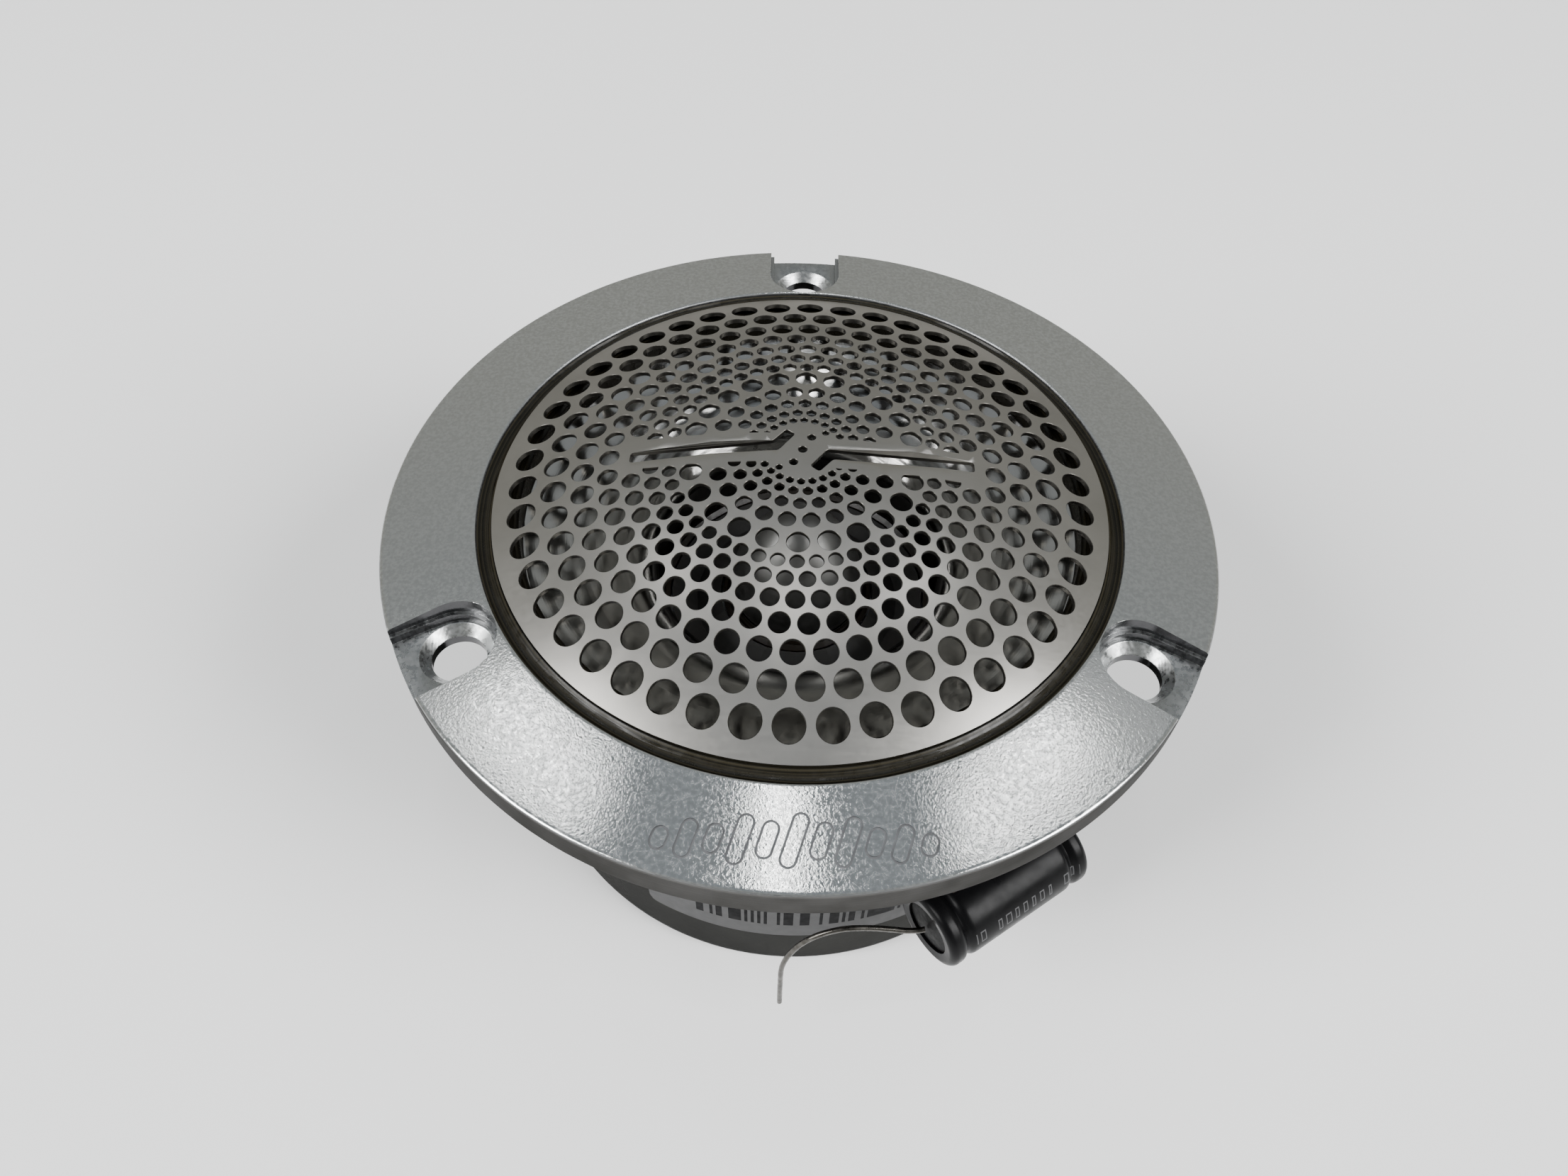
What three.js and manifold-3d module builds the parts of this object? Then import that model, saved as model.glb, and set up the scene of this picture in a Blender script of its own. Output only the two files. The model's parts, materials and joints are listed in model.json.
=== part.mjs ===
// Car-audio bullet tweeter: a turned aluminium horn flange in front of a ring-diaphragm motor,
// a deep steel cup behind it, a domed perforated grille, and a series capacitor bonded beside the cup.
// Millimetres. +Z points out of the horn, z = 0 is the back of the cup, X = Y = 0 is the axis.
import * as THREE from 'three';
import { mergeVertices } from 'three/addons/utils/BufferGeometryUtils.js';
import Module from 'manifold-3d';

const wasm = await Module();
wasm.setup();

// ---- Driving dimensions ----

const ROUND_SEGMENTS = 48;
const INNER_SEGMENTS = 32;
const HOLE_SEGMENTS = 20;
const SMALL_SEGMENTS = 12;
const THROUGH = 30;
const FULL_TURN = Math.PI * 2;

// Horn flange
const FLANGE_R = 49;
const FACE_Z = 50.5;
const FLANGE_THICKNESS = 4.2;
const BEZEL_R = 37.86;
const BEZEL_Z = FACE_Z + 1.3;
const EDGE_CHAMFER = 0.4;
const SEAT_Z = 48.3;
const MOUTH_R = 33;
const THROAT_R = 17.6;
const THROAT_TOP_Z = 40.2;
const SKIRT_R = 35.8;
const SKIRT_Z = 33.9;
const SHOULDER_R = 37.75;
const SHOULDER_Z = 46.05;

// Three fixing notches, open to the rim, with a countersunk hole in each shelf
const NOTCH_ANGLES = [90, 210, 330];
const FIXING_R = 42.9;
const NOTCH_HALF_WIDTH = 4.85;
const SHELF_HALF_WIDTH = 4.4;
const STEP_DEPTH = 0.9;
const SHELF_DEPTH = 2.0;
const FIXING_HOLE_R = 3.0;
const COUNTERSINK_R = 3.7;
const COUNTERSINK_DEPTH = 0.7;

// Grille
const GRILLE_R = 36.1;
const GRILLE_RIM_Z = 52.0;
const GRILLE_APEX_Z = 59.66;
const GRILLE_SHEET = 0.6;
const GRILLE_RINGS = [
  { radius: 30.4, holeRadius: 2.7, count: 18, turn: 0 },
  { radius: 23.2, holeRadius: 2.2, count: 18, turn: 0.5 },
  { radius: 17.2, holeRadius: 1.7, count: 18, turn: 0 },
  { radius: 11.4, holeRadius: 1.5, count: 12, turn: 0.5 },
];
const GRILLE_BAR_HALF_WIDTH = 2.3;
const SLOT_OUTER_X = 19.7;
const SLOT_KNEE = { x: 2.9, y: 0.7 };
const SLOT_TIP = { x: 1.3, y: 2.8 };
const SLOT_HALF_WIDTH = 0.75;

// Motor stack
const CUP_R = 37.4;
const CUP_WALL = 1.1;
const CUP_TOP_Z = 46;
const CUP_FLOOR = 1.5;
const CUP_CORNER = 2;
const PAD_Z = [1.8, 4.2];
const PAD_R = 33;
const YOKE_Z = [4.5, 9.5];
const MAGNET_Z = [9.8, 24.8];
const PLATE_Z = [25.1, 31.1];
const MAGNET_R = 29.9;
const MAGNET_BORE_R = 17;
const PLATE_R = 35.5;
const PLATE_BORE_R = 14;
const POLE_R = 12.2;
const CLEARANCE_BORE_R = 2.5;

// Ring diaphragm and voice coil, which slide together
const FORMER_R = [12.7, 12.95];
const WINDING_R = [13.05, 13.5];
const WINDING_Z = [26, 30.2];
const FORMER_Z = [25.9, 31.5];
const FILM = 0.25;
const VALLEY = { r: 13.1, z: 31.85 };
const RIM_FILM_Z = 33.3;
const DIAPHRAGM_R = [9.95, 16.3];

// Diaphragm clamping parts
const CARRIER_R = [17.9, 31];
const CARRIER_Z = [31.4, 33.05];
const SPACER_R = 8.2;
const SPACER_Z = [31.4, 32.9];

// Bullet phase plug
const PLUG_TIP_Z = 48.3;
const PLUG_BASE_Z = 33.8;

// Fasteners
const HORN_SCREW_CIRCLE_R = 32.9;
const HORN_SCREW_SHANK_R = 1.4;
const HORN_SCREW_HEAD = { radius: 2.65, low: 22.3, high: 24.8 };
const HORN_SCREW_TOP_Z = 38.6;
const SCREW_HOLE_R = 1.75;
const PLUG_BOLT_R = 2.0;
const PLUG_BOLT_HEAD = { radius: 3.8, low: 4.7, high: 7.1 };
const PLUG_BOLT_TOP_Z = 41;
const SOCKET_R = 1.3;
const SOCKET_DEPTH = 1.4;

// Terminals, on the side of the cup, round the +Z axis by this angle
const TERMINAL_ANGLE = 22;
const BLOCK = { inner: 35.8, outer: 40.4, halfWidth: 9, low: 10.5, high: 23.5 };
const WINDOW = { halfWidth: 6.6, low: 13.4, high: 20.6 };
const TAB_OFFSET = 4.2;
const TAB = { inner: 33.4, outer: 46.2, thickness: 0.8, low: 14.6, high: 19.4 };
const RIVET_OFFSET = 7.9;
const RIVET = { radius: 0.9, headRadius: 1.9, inner: 35.2, seat: 40.7, outer: 41.5 };
const RIVET_BORE_R = 1.1;

// Series capacitor, beside the cup on its front right
const CAPACITOR_R = 5.15;
const CAPACITOR_LENGTH = 20.6;
const CAPACITOR_NEAR = new THREE.Vector3(15.8, -41.6, 24.2);
const CAPACITOR_HEADING = 34.7;
const SLEEVE_WALL = 0.35;
const LEAD_R = 0.33;

// Printed label, a thin skin on the front of the cup
const LABEL = { gap: 0.1, thickness: 0.2, low: 10, high: 34, from: -118.5, to: -58 };

const ALUMINIUM = { color: 0xc4c6c8, metalness: 1, roughness: 0.32 };
const STEEL = { color: 0x8d8f91, metalness: 1, roughness: 0.4 };

// ---- Helpers ----

function closedMesh(geometry) {
  const bare = geometry.clone();
  bare.deleteAttribute('normal');
  bare.deleteAttribute('uv');
  return mergeVertices(bare, 1e-4);
}

function solidOf(geometry) {
  const shared = closedMesh(geometry);
  const corners = shared.index.array;
  const kept = [];
  for (let i = 0; i < corners.length; i += 3) {
    const [a, b, c] = corners.slice(i, i + 3);
    if (a !== b && b !== c && c !== a) kept.push(a, b, c);
  }
  const vertProperties = new Float32Array(shared.attributes.position.array);
  const triVerts = new Uint32Array(kept);
  return new wasm.Manifold(new wasm.Mesh({ numProp: 3, vertProperties, triVerts }));
}

function geometryOf(solid) {
  const mesh = solid.getMesh();
  const geometry = new THREE.BufferGeometry();
  geometry.setAttribute('position', new THREE.BufferAttribute(mesh.vertProperties, 3));
  geometry.setIndex(new THREE.BufferAttribute(mesh.triVerts, 1));
  geometry.computeVertexNormals();
  return geometry;
}

function cut(base, cutters) {
  return geometryOf(cutters.reduce((left, cutter) => left.subtract(solidOf(cutter)), solidOf(base)));
}

// A turned piece from its [radius, z] outline; an outline that leaves the axis closes on itself.
function turned(outline, segments = ROUND_SEGMENTS) {
  const points = outline.map(([r, z]) => new THREE.Vector2(r, z));
  if (THREE.ShapeUtils.area(points) < 0) points.reverse();
  if (points[0].x > 0 || points[points.length - 1].x > 0) points.push(points[0].clone());
  return new THREE.LatheGeometry(points, segments).rotateX(Math.PI / 2);
}

function ring(inner, outer, low, high, segments = ROUND_SEGMENTS) {
  return turned([[inner, low], [outer, low], [outer, high], [inner, high]], segments);
}

function disc(radius, low, high, segments = ROUND_SEGMENTS) {
  return turned([[0, low], [radius, low], [radius, high], [0, high]], segments);
}

function block(low, high) {
  const size = new THREE.Vector3().subVectors(high, low);
  const middle = new THREE.Vector3().addVectors(low, high).multiplyScalar(0.5);
  return new THREE.BoxGeometry(size.x, size.y, size.z).translate(middle.x, middle.y, middle.z);
}

function prism(shape, low, high, curveSegments = 10) {
  const geometry = new THREE.ExtrudeGeometry(shape, { depth: high - low, bevelEnabled: false, curveSegments });
  return geometry.translate(0, 0, low);
}

function wire(points, radius, steps) {
  const path = new THREE.CatmullRomCurve3(points.map((p) => new THREE.Vector3(...p)), false, 'centripetal');
  const section = new THREE.Shape().absarc(0, 0, radius, 0, FULL_TURN, false);
  const options = { steps, extrudePath: path, bevelEnabled: false, curveSegments: 3 };
  return new THREE.ExtrudeGeometry(section, options);
}

function around(angle, geometry) {
  return geometry.clone().rotateZ(THREE.MathUtils.degToRad(angle));
}

function onCircle(radius, angle) {
  const turn = THREE.MathUtils.degToRad(angle);
  return [radius * Math.cos(turn), radius * Math.sin(turn)];
}

const tweeter = new THREE.Group();
tweeter.name = 'car_tweeter';

function add(name, geometry, look, parent = tweeter) {
  const mesh = new THREE.Mesh(geometry, new THREE.MeshStandardMaterial(look));
  mesh.name = name;
  parent.add(mesh);
  return mesh;
}

// ---- Horn flange: flange, grille seat, flare and throat in one turning ----

function notchCutter(halfWidth, low) {
  const shape = new THREE.Shape();
  shape.moveTo(FLANGE_R + 1, -halfWidth);
  shape.lineTo(FLANGE_R + 1, halfWidth);
  shape.lineTo(FIXING_R, halfWidth);
  shape.absarc(FIXING_R, 0, halfWidth, Math.PI / 2, Math.PI * 1.5, false);
  return prism(shape, low, FACE_Z + 3, 7);
}

function fixingHoleCutter() {
  const shelf = FACE_Z - SHELF_DEPTH;
  const outline = [
    [0, shelf - THROUGH],
    [FIXING_HOLE_R, shelf - THROUGH],
    [FIXING_HOLE_R, shelf - COUNTERSINK_DEPTH],
    [COUNTERSINK_R, shelf],
    [COUNTERSINK_R, shelf + 1],
    [0, shelf + 1],
  ];
  return turned(outline, HOLE_SEGMENTS).translate(FIXING_R, 0, 0);
}

function hornFlange() {
  const underside = FACE_Z - FLANGE_THICKNESS;
  const flare = new THREE.CubicBezierCurve(
    new THREE.Vector2(MOUTH_R, SEAT_Z),
    new THREE.Vector2(26.5, 46.6),
    new THREE.Vector2(THROAT_R + 1.4, 44.6),
    new THREE.Vector2(THROAT_R, THROAT_TOP_Z),
  );
  const outline = [
    [THROAT_R, SKIRT_Z],
    [SKIRT_R, SKIRT_Z],
    [SKIRT_R, SHOULDER_Z],
    [SHOULDER_R, SHOULDER_Z],
    [SHOULDER_R, underside],
    [FLANGE_R - EDGE_CHAMFER, underside],
    [FLANGE_R, underside + EDGE_CHAMFER],
    [FLANGE_R, FACE_Z - EDGE_CHAMFER],
    [FLANGE_R - EDGE_CHAMFER, FACE_Z],
    [BEZEL_R + EDGE_CHAMFER, BEZEL_Z],
    [BEZEL_R, BEZEL_Z - EDGE_CHAMFER],
    [BEZEL_R, SEAT_Z],
    ...flare.getPoints(5).map((p) => [p.x, p.y]),
  ];
  const cutters = [];
  for (const angle of NOTCH_ANGLES) {
    cutters.push(around(angle, notchCutter(NOTCH_HALF_WIDTH, FACE_Z - STEP_DEPTH)));
    cutters.push(around(angle, notchCutter(SHELF_HALF_WIDTH, FACE_Z - SHELF_DEPTH)));
    cutters.push(around(angle, fixingHoleCutter()));
    const tapped = disc(SCREW_HOLE_R, SKIRT_Z - 1, HORN_SCREW_TOP_Z + 0.6, SMALL_SEGMENTS);
    cutters.push(around(angle, tapped.translate(HORN_SCREW_CIRCLE_R, 0, 0)));
  }
  return cut(turned(outline), cutters);
}

// ---- Grille: a domed sheet with rings of holes, a plain bar and two cranked slots ----

function domeArc(radius, apexZ, rimR, steps) {
  const points = [];
  const halfAngle = Math.asin(rimR / radius);
  for (let i = 0; i <= steps; i += 1) {
    const angle = (halfAngle * i) / steps;
    points.push([radius * Math.sin(angle), apexZ - radius * (1 - Math.cos(angle))]);
  }
  return points;
}

function slotCutter() {
  const run = new THREE.Vector2(SLOT_KNEE.x - SLOT_TIP.x, SLOT_TIP.y - SLOT_KNEE.y).normalize();
  const side = { x: run.y * SLOT_HALF_WIDTH, y: run.x * SLOT_HALF_WIDTH };
  const shape = new THREE.Shape();
  shape.moveTo(-SLOT_OUTER_X, -SLOT_HALF_WIDTH);
  shape.lineTo(-SLOT_KNEE.x + 0.4, SLOT_KNEE.y - SLOT_HALF_WIDTH);
  shape.lineTo(-SLOT_TIP.x + side.x, SLOT_TIP.y - side.y);
  shape.lineTo(-SLOT_TIP.x - side.x, SLOT_TIP.y + side.y);
  shape.lineTo(-SLOT_KNEE.x - 0.4, SLOT_KNEE.y + SLOT_HALF_WIDTH);
  shape.lineTo(-SLOT_OUTER_X, SLOT_HALF_WIDTH);
  return prism(shape, GRILLE_RIM_Z - 5, GRILLE_APEX_Z + 5);
}

function grille() {
  const rise = GRILLE_APEX_Z - GRILLE_RIM_Z;
  const radius = (GRILLE_R * GRILLE_R + rise * rise) / (2 * rise);
  const outer = domeArc(radius, GRILLE_APEX_Z, GRILLE_R, 5);
  const inner = domeArc(radius - GRILLE_SHEET, GRILLE_APEX_Z - GRILLE_SHEET, GRILLE_R, 5);
  const cutters = [];
  for (const { radius: ringRadius, holeRadius, count, turn } of GRILLE_RINGS) {
    for (let i = 0; i < count; i += 1) {
      const [x, y] = onCircle(ringRadius, 90 + (360 * (i + turn)) / count);
      const onBar = Math.abs(y) < GRILLE_BAR_HALF_WIDTH + holeRadius && ringRadius < SLOT_OUTER_X + 1;
      if (!onBar) cutters.push(disc(holeRadius, GRILLE_RIM_Z - 5, GRILLE_APEX_Z + 5, 6).translate(x, y, 0));
    }
  }
  cutters.push(slotCutter());
  cutters.push(around(180, slotCutter()));
  return cut(turned([...outer, ...inner.reverse()], INNER_SEGMENTS), cutters);
}

function grilleSealRing() {
  const outline = [
    [MOUTH_R + 0.2, SEAT_Z + 0.3],
    [BEZEL_R - 0.3, SEAT_Z + 0.3],
    [BEZEL_R - 0.3, BEZEL_Z - 0.5],
    [GRILLE_R + 0.4, BEZEL_Z - 0.3],
    [GRILLE_R + 0.4, GRILLE_RIM_Z - GRILLE_SHEET - 0.4],
    [MOUTH_R + 0.2, GRILLE_RIM_Z - GRILLE_SHEET - 0.4],
  ];
  return turned(outline);
}

// ---- Motor ----

function cup() {
  const inside = CUP_R - CUP_WALL;
  const outline = [
    [0, 0],
    [CUP_R - CUP_CORNER, 0],
    [CUP_R - CUP_CORNER * 0.3, CUP_CORNER * 0.3],
    [CUP_R, CUP_CORNER],
    [CUP_R, CUP_TOP_Z],
    [inside, CUP_TOP_Z],
    [inside, CUP_FLOOR + CUP_WALL],
    [inside - CUP_WALL, CUP_FLOOR],
    [0, CUP_FLOOR],
  ];
  const window = block(
    new THREE.Vector3(CUP_R - 4, -WINDOW.halfWidth, WINDOW.low),
    new THREE.Vector3(CUP_R + 2, WINDOW.halfWidth, WINDOW.high),
  );
  const rivetHoles = [-RIVET_OFFSET, RIVET_OFFSET].map((y) => rivetBore().translate(0, y, 0));
  return cut(turned(outline), [window, ...rivetHoles].map((cutter) => around(TERMINAL_ANGLE, cutter)));
}

function yoke() {
  const bore = CLEARANCE_BORE_R;
  const counterbore = PLUG_BOLT_HEAD.radius + 0.4;
  const ledge = PLUG_BOLT_HEAD.high + 0.3;
  const outline = [
    [counterbore, YOKE_Z[0]],
    [MAGNET_R, YOKE_Z[0]],
    [MAGNET_R, YOKE_Z[1]],
    [POLE_R, YOKE_Z[1]],
    [POLE_R, PLATE_Z[1] - 0.4],
    [POLE_R - 0.4, PLATE_Z[1]],
    [bore, PLATE_Z[1]],
    [bore, ledge],
    [counterbore, ledge],
  ];
  return turned(outline, INNER_SEGMENTS);
}

function topPlate() {
  const plate = ring(PLATE_BORE_R, PLATE_R, PLATE_Z[0], PLATE_Z[1]);
  const hole = disc(SCREW_HOLE_R, PLATE_Z[0] - 1, PLATE_Z[1] + 1, SMALL_SEGMENTS).translate(HORN_SCREW_CIRCLE_R, 0, 0);
  const wireNotch = block(
    new THREE.Vector3(PLATE_R - 3.2, -4.4, PLATE_Z[0] - 1),
    new THREE.Vector3(PLATE_R + 1, 4.4, PLATE_Z[1] + 1),
  );
  const cutters = NOTCH_ANGLES.map((angle) => around(angle, hole));
  return cut(plate, [...cutters, around(TERMINAL_ANGLE, wireNotch)]);
}

// ---- Diaphragm and its clamping parts ----

function film(lowerEdge) {
  const upperEdge = lowerEdge.map(([r, z]) => [r, z + FILM]).reverse();
  return turned([...lowerEdge, ...upperEdge], INNER_SEGMENTS);
}

// A half roll from one radius to another, as [radius, z] points
function halfRoll(from, to, base, height, steps = 2) {
  const points = [];
  for (let i = 0; i <= steps; i += 1) {
    const along = i / steps;
    points.push([from + (to - from) * along, base + height * Math.sin(Math.PI * along)]);
  }
  return points;
}

function ringDiaphragm() {
  return film([[DIAPHRAGM_R[0], RIM_FILM_Z], [VALLEY.r, VALLEY.z], [DIAPHRAGM_R[1], RIM_FILM_Z]]);
}

function outerSurround() {
  const start = DIAPHRAGM_R[1] + 0.3;
  return film([...halfRoll(start, THROAT_R + 0.1, RIM_FILM_Z, 0.5), [22, RIM_FILM_Z]]);
}

function innerSurround() {
  const end = DIAPHRAGM_R[0] - 0.3;
  return film([[5.5, RIM_FILM_Z - 0.1], ...halfRoll(SPACER_R + 0.4, end, RIM_FILM_Z - 0.1, 0.5)]);
}

function phasePlug() {
  const outline = [
    [CLEARANCE_BORE_R - 0.1, PLUG_BASE_Z],
    [8.1, PLUG_BASE_Z],
    [8.5, PLUG_BASE_Z + 0.6],
    [8.3, 36.6],
    [7.5, 39.8],
    [6.1, 43],
    [4.2, 45.8],
    [2.1, 47.7],
    [0, PLUG_TIP_Z],
    [0, PLUG_BOLT_TOP_Z + 0.5],
    [CLEARANCE_BORE_R - 0.1, PLUG_BOLT_TOP_Z + 0.5],
  ];
  return turned(outline, INNER_SEGMENTS);
}

// ---- Fasteners: socket heads downwards, shanks up ----

function capScrew(head, shankR, topZ) {
  const outline = [
    [0, head.low + SOCKET_DEPTH],
    [SOCKET_R, head.low + SOCKET_DEPTH],
    [SOCKET_R, head.low],
    [head.radius - 0.2, head.low],
    [head.radius, head.low + 0.2],
    [head.radius, head.high],
    [shankR, head.high],
    [shankR, topZ - 0.4],
    [shankR - 0.4, topZ],
    [0, topZ],
  ];
  return turned(outline, SMALL_SEGMENTS);
}

// ---- Terminals: built looking along +X, then turned to their place ----

function rivetBore() {
  const bore = new THREE.CylinderGeometry(RIVET_BORE_R, RIVET_BORE_R, 14, SMALL_SEGMENTS).rotateZ(Math.PI / 2);
  return bore.translate(CUP_R, 0, (BLOCK.low + BLOCK.high) / 2);
}

function terminalBlock() {
  const body = block(
    new THREE.Vector3(BLOCK.inner, -BLOCK.halfWidth - 1.6, BLOCK.low),
    new THREE.Vector3(BLOCK.outer, BLOCK.halfWidth + 1.6, BLOCK.high),
  );
  const cutters = [disc(CUP_R + 0.15, BLOCK.low - 2, BLOCK.high + 2)];
  for (const side of [-1, 1]) {
    const slot = block(
      new THREE.Vector3(30, side * TAB_OFFSET - TAB.thickness / 2 - 0.15, TAB.low - 0.15),
      new THREE.Vector3(50, side * TAB_OFFSET + TAB.thickness / 2 + 0.15, TAB.high + 0.15),
    );
    cutters.push(slot, rivetBore().translate(0, side * RIVET_OFFSET, 0));
  }
  return cut(body, cutters);
}

function terminalTab(side) {
  const tab = block(
    new THREE.Vector3(TAB.inner, side * TAB_OFFSET - TAB.thickness / 2, TAB.low),
    new THREE.Vector3(TAB.outer, side * TAB_OFFSET + TAB.thickness / 2, TAB.high),
  );
  const eye = new THREE.CylinderGeometry(0.9, 0.9, 4, SMALL_SEGMENTS);
  return cut(tab, [eye.translate(TAB.outer - 2, side * TAB_OFFSET, (TAB.low + TAB.high) / 2)]);
}

function terminalRivet() {
  const outline = [
    [0, RIVET.inner],
    [RIVET.radius, RIVET.inner],
    [RIVET.radius, RIVET.seat],
    [RIVET.headRadius, RIVET.seat],
    [RIVET.headRadius - 0.3, RIVET.outer - 0.2],
    [0, RIVET.outer],
  ];
  const alongX = turned(outline, SMALL_SEGMENTS).rotateY(Math.PI / 2);
  return alongX.translate(0, 0, (BLOCK.low + BLOCK.high) / 2);
}

function innerLead(side) {
  const tabTop = TAB.high + 0.35;
  const points = [
    [31.6, side * 2.2, 32.3],
    [33.2, side * 2.4, 32.2],
    [34.2, side * 2.6, 31],
    [34.2, side * 2.9, 27],
    [34.2, side * 3.6, 22.5],
    [34.6, side * TAB_OFFSET, tabTop],
  ];
  return wire(points, 0.6, 12);
}

// ---- Capacitor: built along +Z from its near end ----

function crimpedOutline(radius, from, to) {
  const bead = 2.5;
  const groove = 0.45;
  const soft = 0.7;
  const end = CAPACITOR_LENGTH;
  return [
    [radius - soft, from],
    [radius, from + soft],
    [radius, bead - soft],
    [radius - groove, bead],
    [radius, bead + soft],
    [radius, end - bead - soft],
    [radius - groove, end - bead],
    [radius, end - bead + soft],
    [radius, to - soft],
    [radius - soft, to],
  ];
}

function capacitorSleeve() {
  const outer = crimpedOutline(CAPACITOR_R, 0, CAPACITOR_LENGTH);
  const inner = crimpedOutline(CAPACITOR_R - SLEEVE_WALL, 0, CAPACITOR_LENGTH).reverse();
  return turned([...outer, ...inner], HOLE_SEGMENTS);
}

function capacitorCan() {
  const inset = 0.8;
  return disc(CAPACITOR_R - 0.45 - SLEEVE_WALL - 0.2, inset, CAPACITOR_LENGTH - inset, HOLE_SEGMENTS);
}

function capacitorSeal(low) {
  return ring(LEAD_R + 0.15, 3.4, low, low + 0.4, SMALL_SEGMENTS);
}

function capacitorBead(axis) {
  const lift = 2.2;
  const bead = block(new THREE.Vector3(-7, -9, lift), new THREE.Vector3(7, 3, 6.5));
  const middle = CAPACITOR_NEAR.clone().addScaledVector(axis, CAPACITOR_LENGTH / 2);
  bead.rotateZ(THREE.MathUtils.degToRad(CAPACITOR_HEADING)).translate(middle.x, middle.y, middle.z);
  const keepOut = disc(CAPACITOR_R + 0.3, -1, CAPACITOR_LENGTH + 1, INNER_SEGMENTS);
  keepOut.applyMatrix4(capacitorPlace(axis));
  const outside = ring(CUP_R + 6.2, CUP_R + 30, 0, FACE_Z);
  return cut(bead, [keepOut, disc(CUP_R + 0.6, 0, FACE_Z), outside]);
}

function capacitorPlace(axis) {
  const turn = new THREE.Quaternion().setFromUnitVectors(new THREE.Vector3(0, 0, 1), axis);
  return new THREE.Matrix4().compose(CAPACITOR_NEAR, turn, new THREE.Vector3(1, 1, 1));
}

function label() {
  const inner = CUP_R + LABEL.gap;
  const outer = inner + LABEL.thickness;
  const from = THREE.MathUtils.degToRad(LABEL.from);
  const to = THREE.MathUtils.degToRad(LABEL.to);
  const shape = new THREE.Shape();
  shape.absarc(0, 0, outer, from, to, false);
  shape.absarc(0, 0, inner, to, from, true);
  return prism(shape, LABEL.low, LABEL.high);
}

// ---- Assembly ----

add('horn_flange', hornFlange(), ALUMINIUM);
add('grille_seal_ring', grilleSealRing(), { color: 0x2a2018, roughness: 0.25, metalness: 0 });
add('grille', grille(), { color: 0x9c9a95, roughness: 0.38, metalness: 1 });
add('phase_plug', phasePlug(), { color: 0x9b9da0, roughness: 0.35, metalness: 1 });
add('rear_cup', cup(), { color: 0x85868a, roughness: 0.45, metalness: 0.8 });
add('rear_foam_pad', disc(PAD_R, PAD_Z[0], PAD_Z[1], INNER_SEGMENTS), { color: 0x2b2b2b, roughness: 1 });
add('pole_yoke', yoke(), STEEL);
add('ring_magnet', ring(MAGNET_BORE_R, MAGNET_R, ...MAGNET_Z, INNER_SEGMENTS), { color: 0x3a3a3c, roughness: 0.7 });
add('top_plate', topPlate(), STEEL);
add('diaphragm_carrier', ring(...CARRIER_R, ...CARRIER_Z, INNER_SEGMENTS), { color: 0x1d1d1f, roughness: 0.6 });
add('inner_spacer', ring(CLEARANCE_BORE_R, SPACER_R, ...SPACER_Z, INNER_SEGMENTS), ALUMINIUM);
add('ring_diaphragm', ringDiaphragm(), { color: 0x6f6a62, roughness: 0.4, metalness: 0.6 });
add('outer_surround', outerSurround(), { color: 0x3a342c, roughness: 0.5 });
add('inner_surround', innerSurround(), { color: 0x3a342c, roughness: 0.5 });
add('voice_coil_former', ring(...FORMER_R, ...FORMER_Z, INNER_SEGMENTS), { color: 0xb98a3c, roughness: 0.4 });
add('voice_coil_winding', ring(...WINDING_R, ...WINDING_Z, INNER_SEGMENTS), { color: 0xb0683a, metalness: 1 });
add('phase_plug_bolt', capScrew(PLUG_BOLT_HEAD, PLUG_BOLT_R, PLUG_BOLT_TOP_Z), STEEL);

NOTCH_ANGLES.forEach((angle, i) => {
  const screw = capScrew(HORN_SCREW_HEAD, HORN_SCREW_SHANK_R, HORN_SCREW_TOP_Z);
  const [x, y] = onCircle(HORN_SCREW_CIRCLE_R, angle);
  add(`horn_screw_${i + 1}`, screw, STEEL).position.set(x, y, 0);
});

const terminals = new THREE.Group();
terminals.rotation.z = THREE.MathUtils.degToRad(TERMINAL_ANGLE);
tweeter.add(terminals);
add('terminal_block', terminalBlock(), { color: 0x18181a, roughness: 0.5 }, terminals);
for (const [pole, side] of [['plus', -1], ['minus', 1]]) {
  add(`terminal_tab_${pole}`, terminalTab(side), { color: 0xc9b26a, metalness: 1, roughness: 0.3 }, terminals);
  add(`inner_lead_${pole}`, innerLead(side), { color: pole === 'plus' ? 0x9c2b24 : 0x1a1a1a }, terminals);
  const rivet = add(`terminal_rivet_${pole}`, terminalRivet(), STEEL, terminals);
  rivet.position.y = side * RIVET_OFFSET;
}

const heading = THREE.MathUtils.degToRad(CAPACITOR_HEADING);
const capacitorAxis = new THREE.Vector3(Math.cos(heading), Math.sin(heading), 0);
const capacitor = new THREE.Group();
capacitor.applyMatrix4(capacitorPlace(capacitorAxis));
tweeter.add(capacitor);
add('capacitor_sleeve', capacitorSleeve(), { color: 0x0c0c0d, roughness: 0.3 }, capacitor);
add('capacitor_can', capacitorCan(), ALUMINIUM, capacitor);
add('capacitor_seal_near', capacitorSeal(0.1), { color: 0x101010, roughness: 0.3 }, capacitor);
add('capacitor_seal_far', capacitorSeal(CAPACITOR_LENGTH - 0.5), { color: 0x101010, roughness: 0.3 }, capacitor);
add('capacitor_bead', capacitorBead(capacitorAxis), { color: 0x2a2622, roughness: 0.35 });

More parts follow.
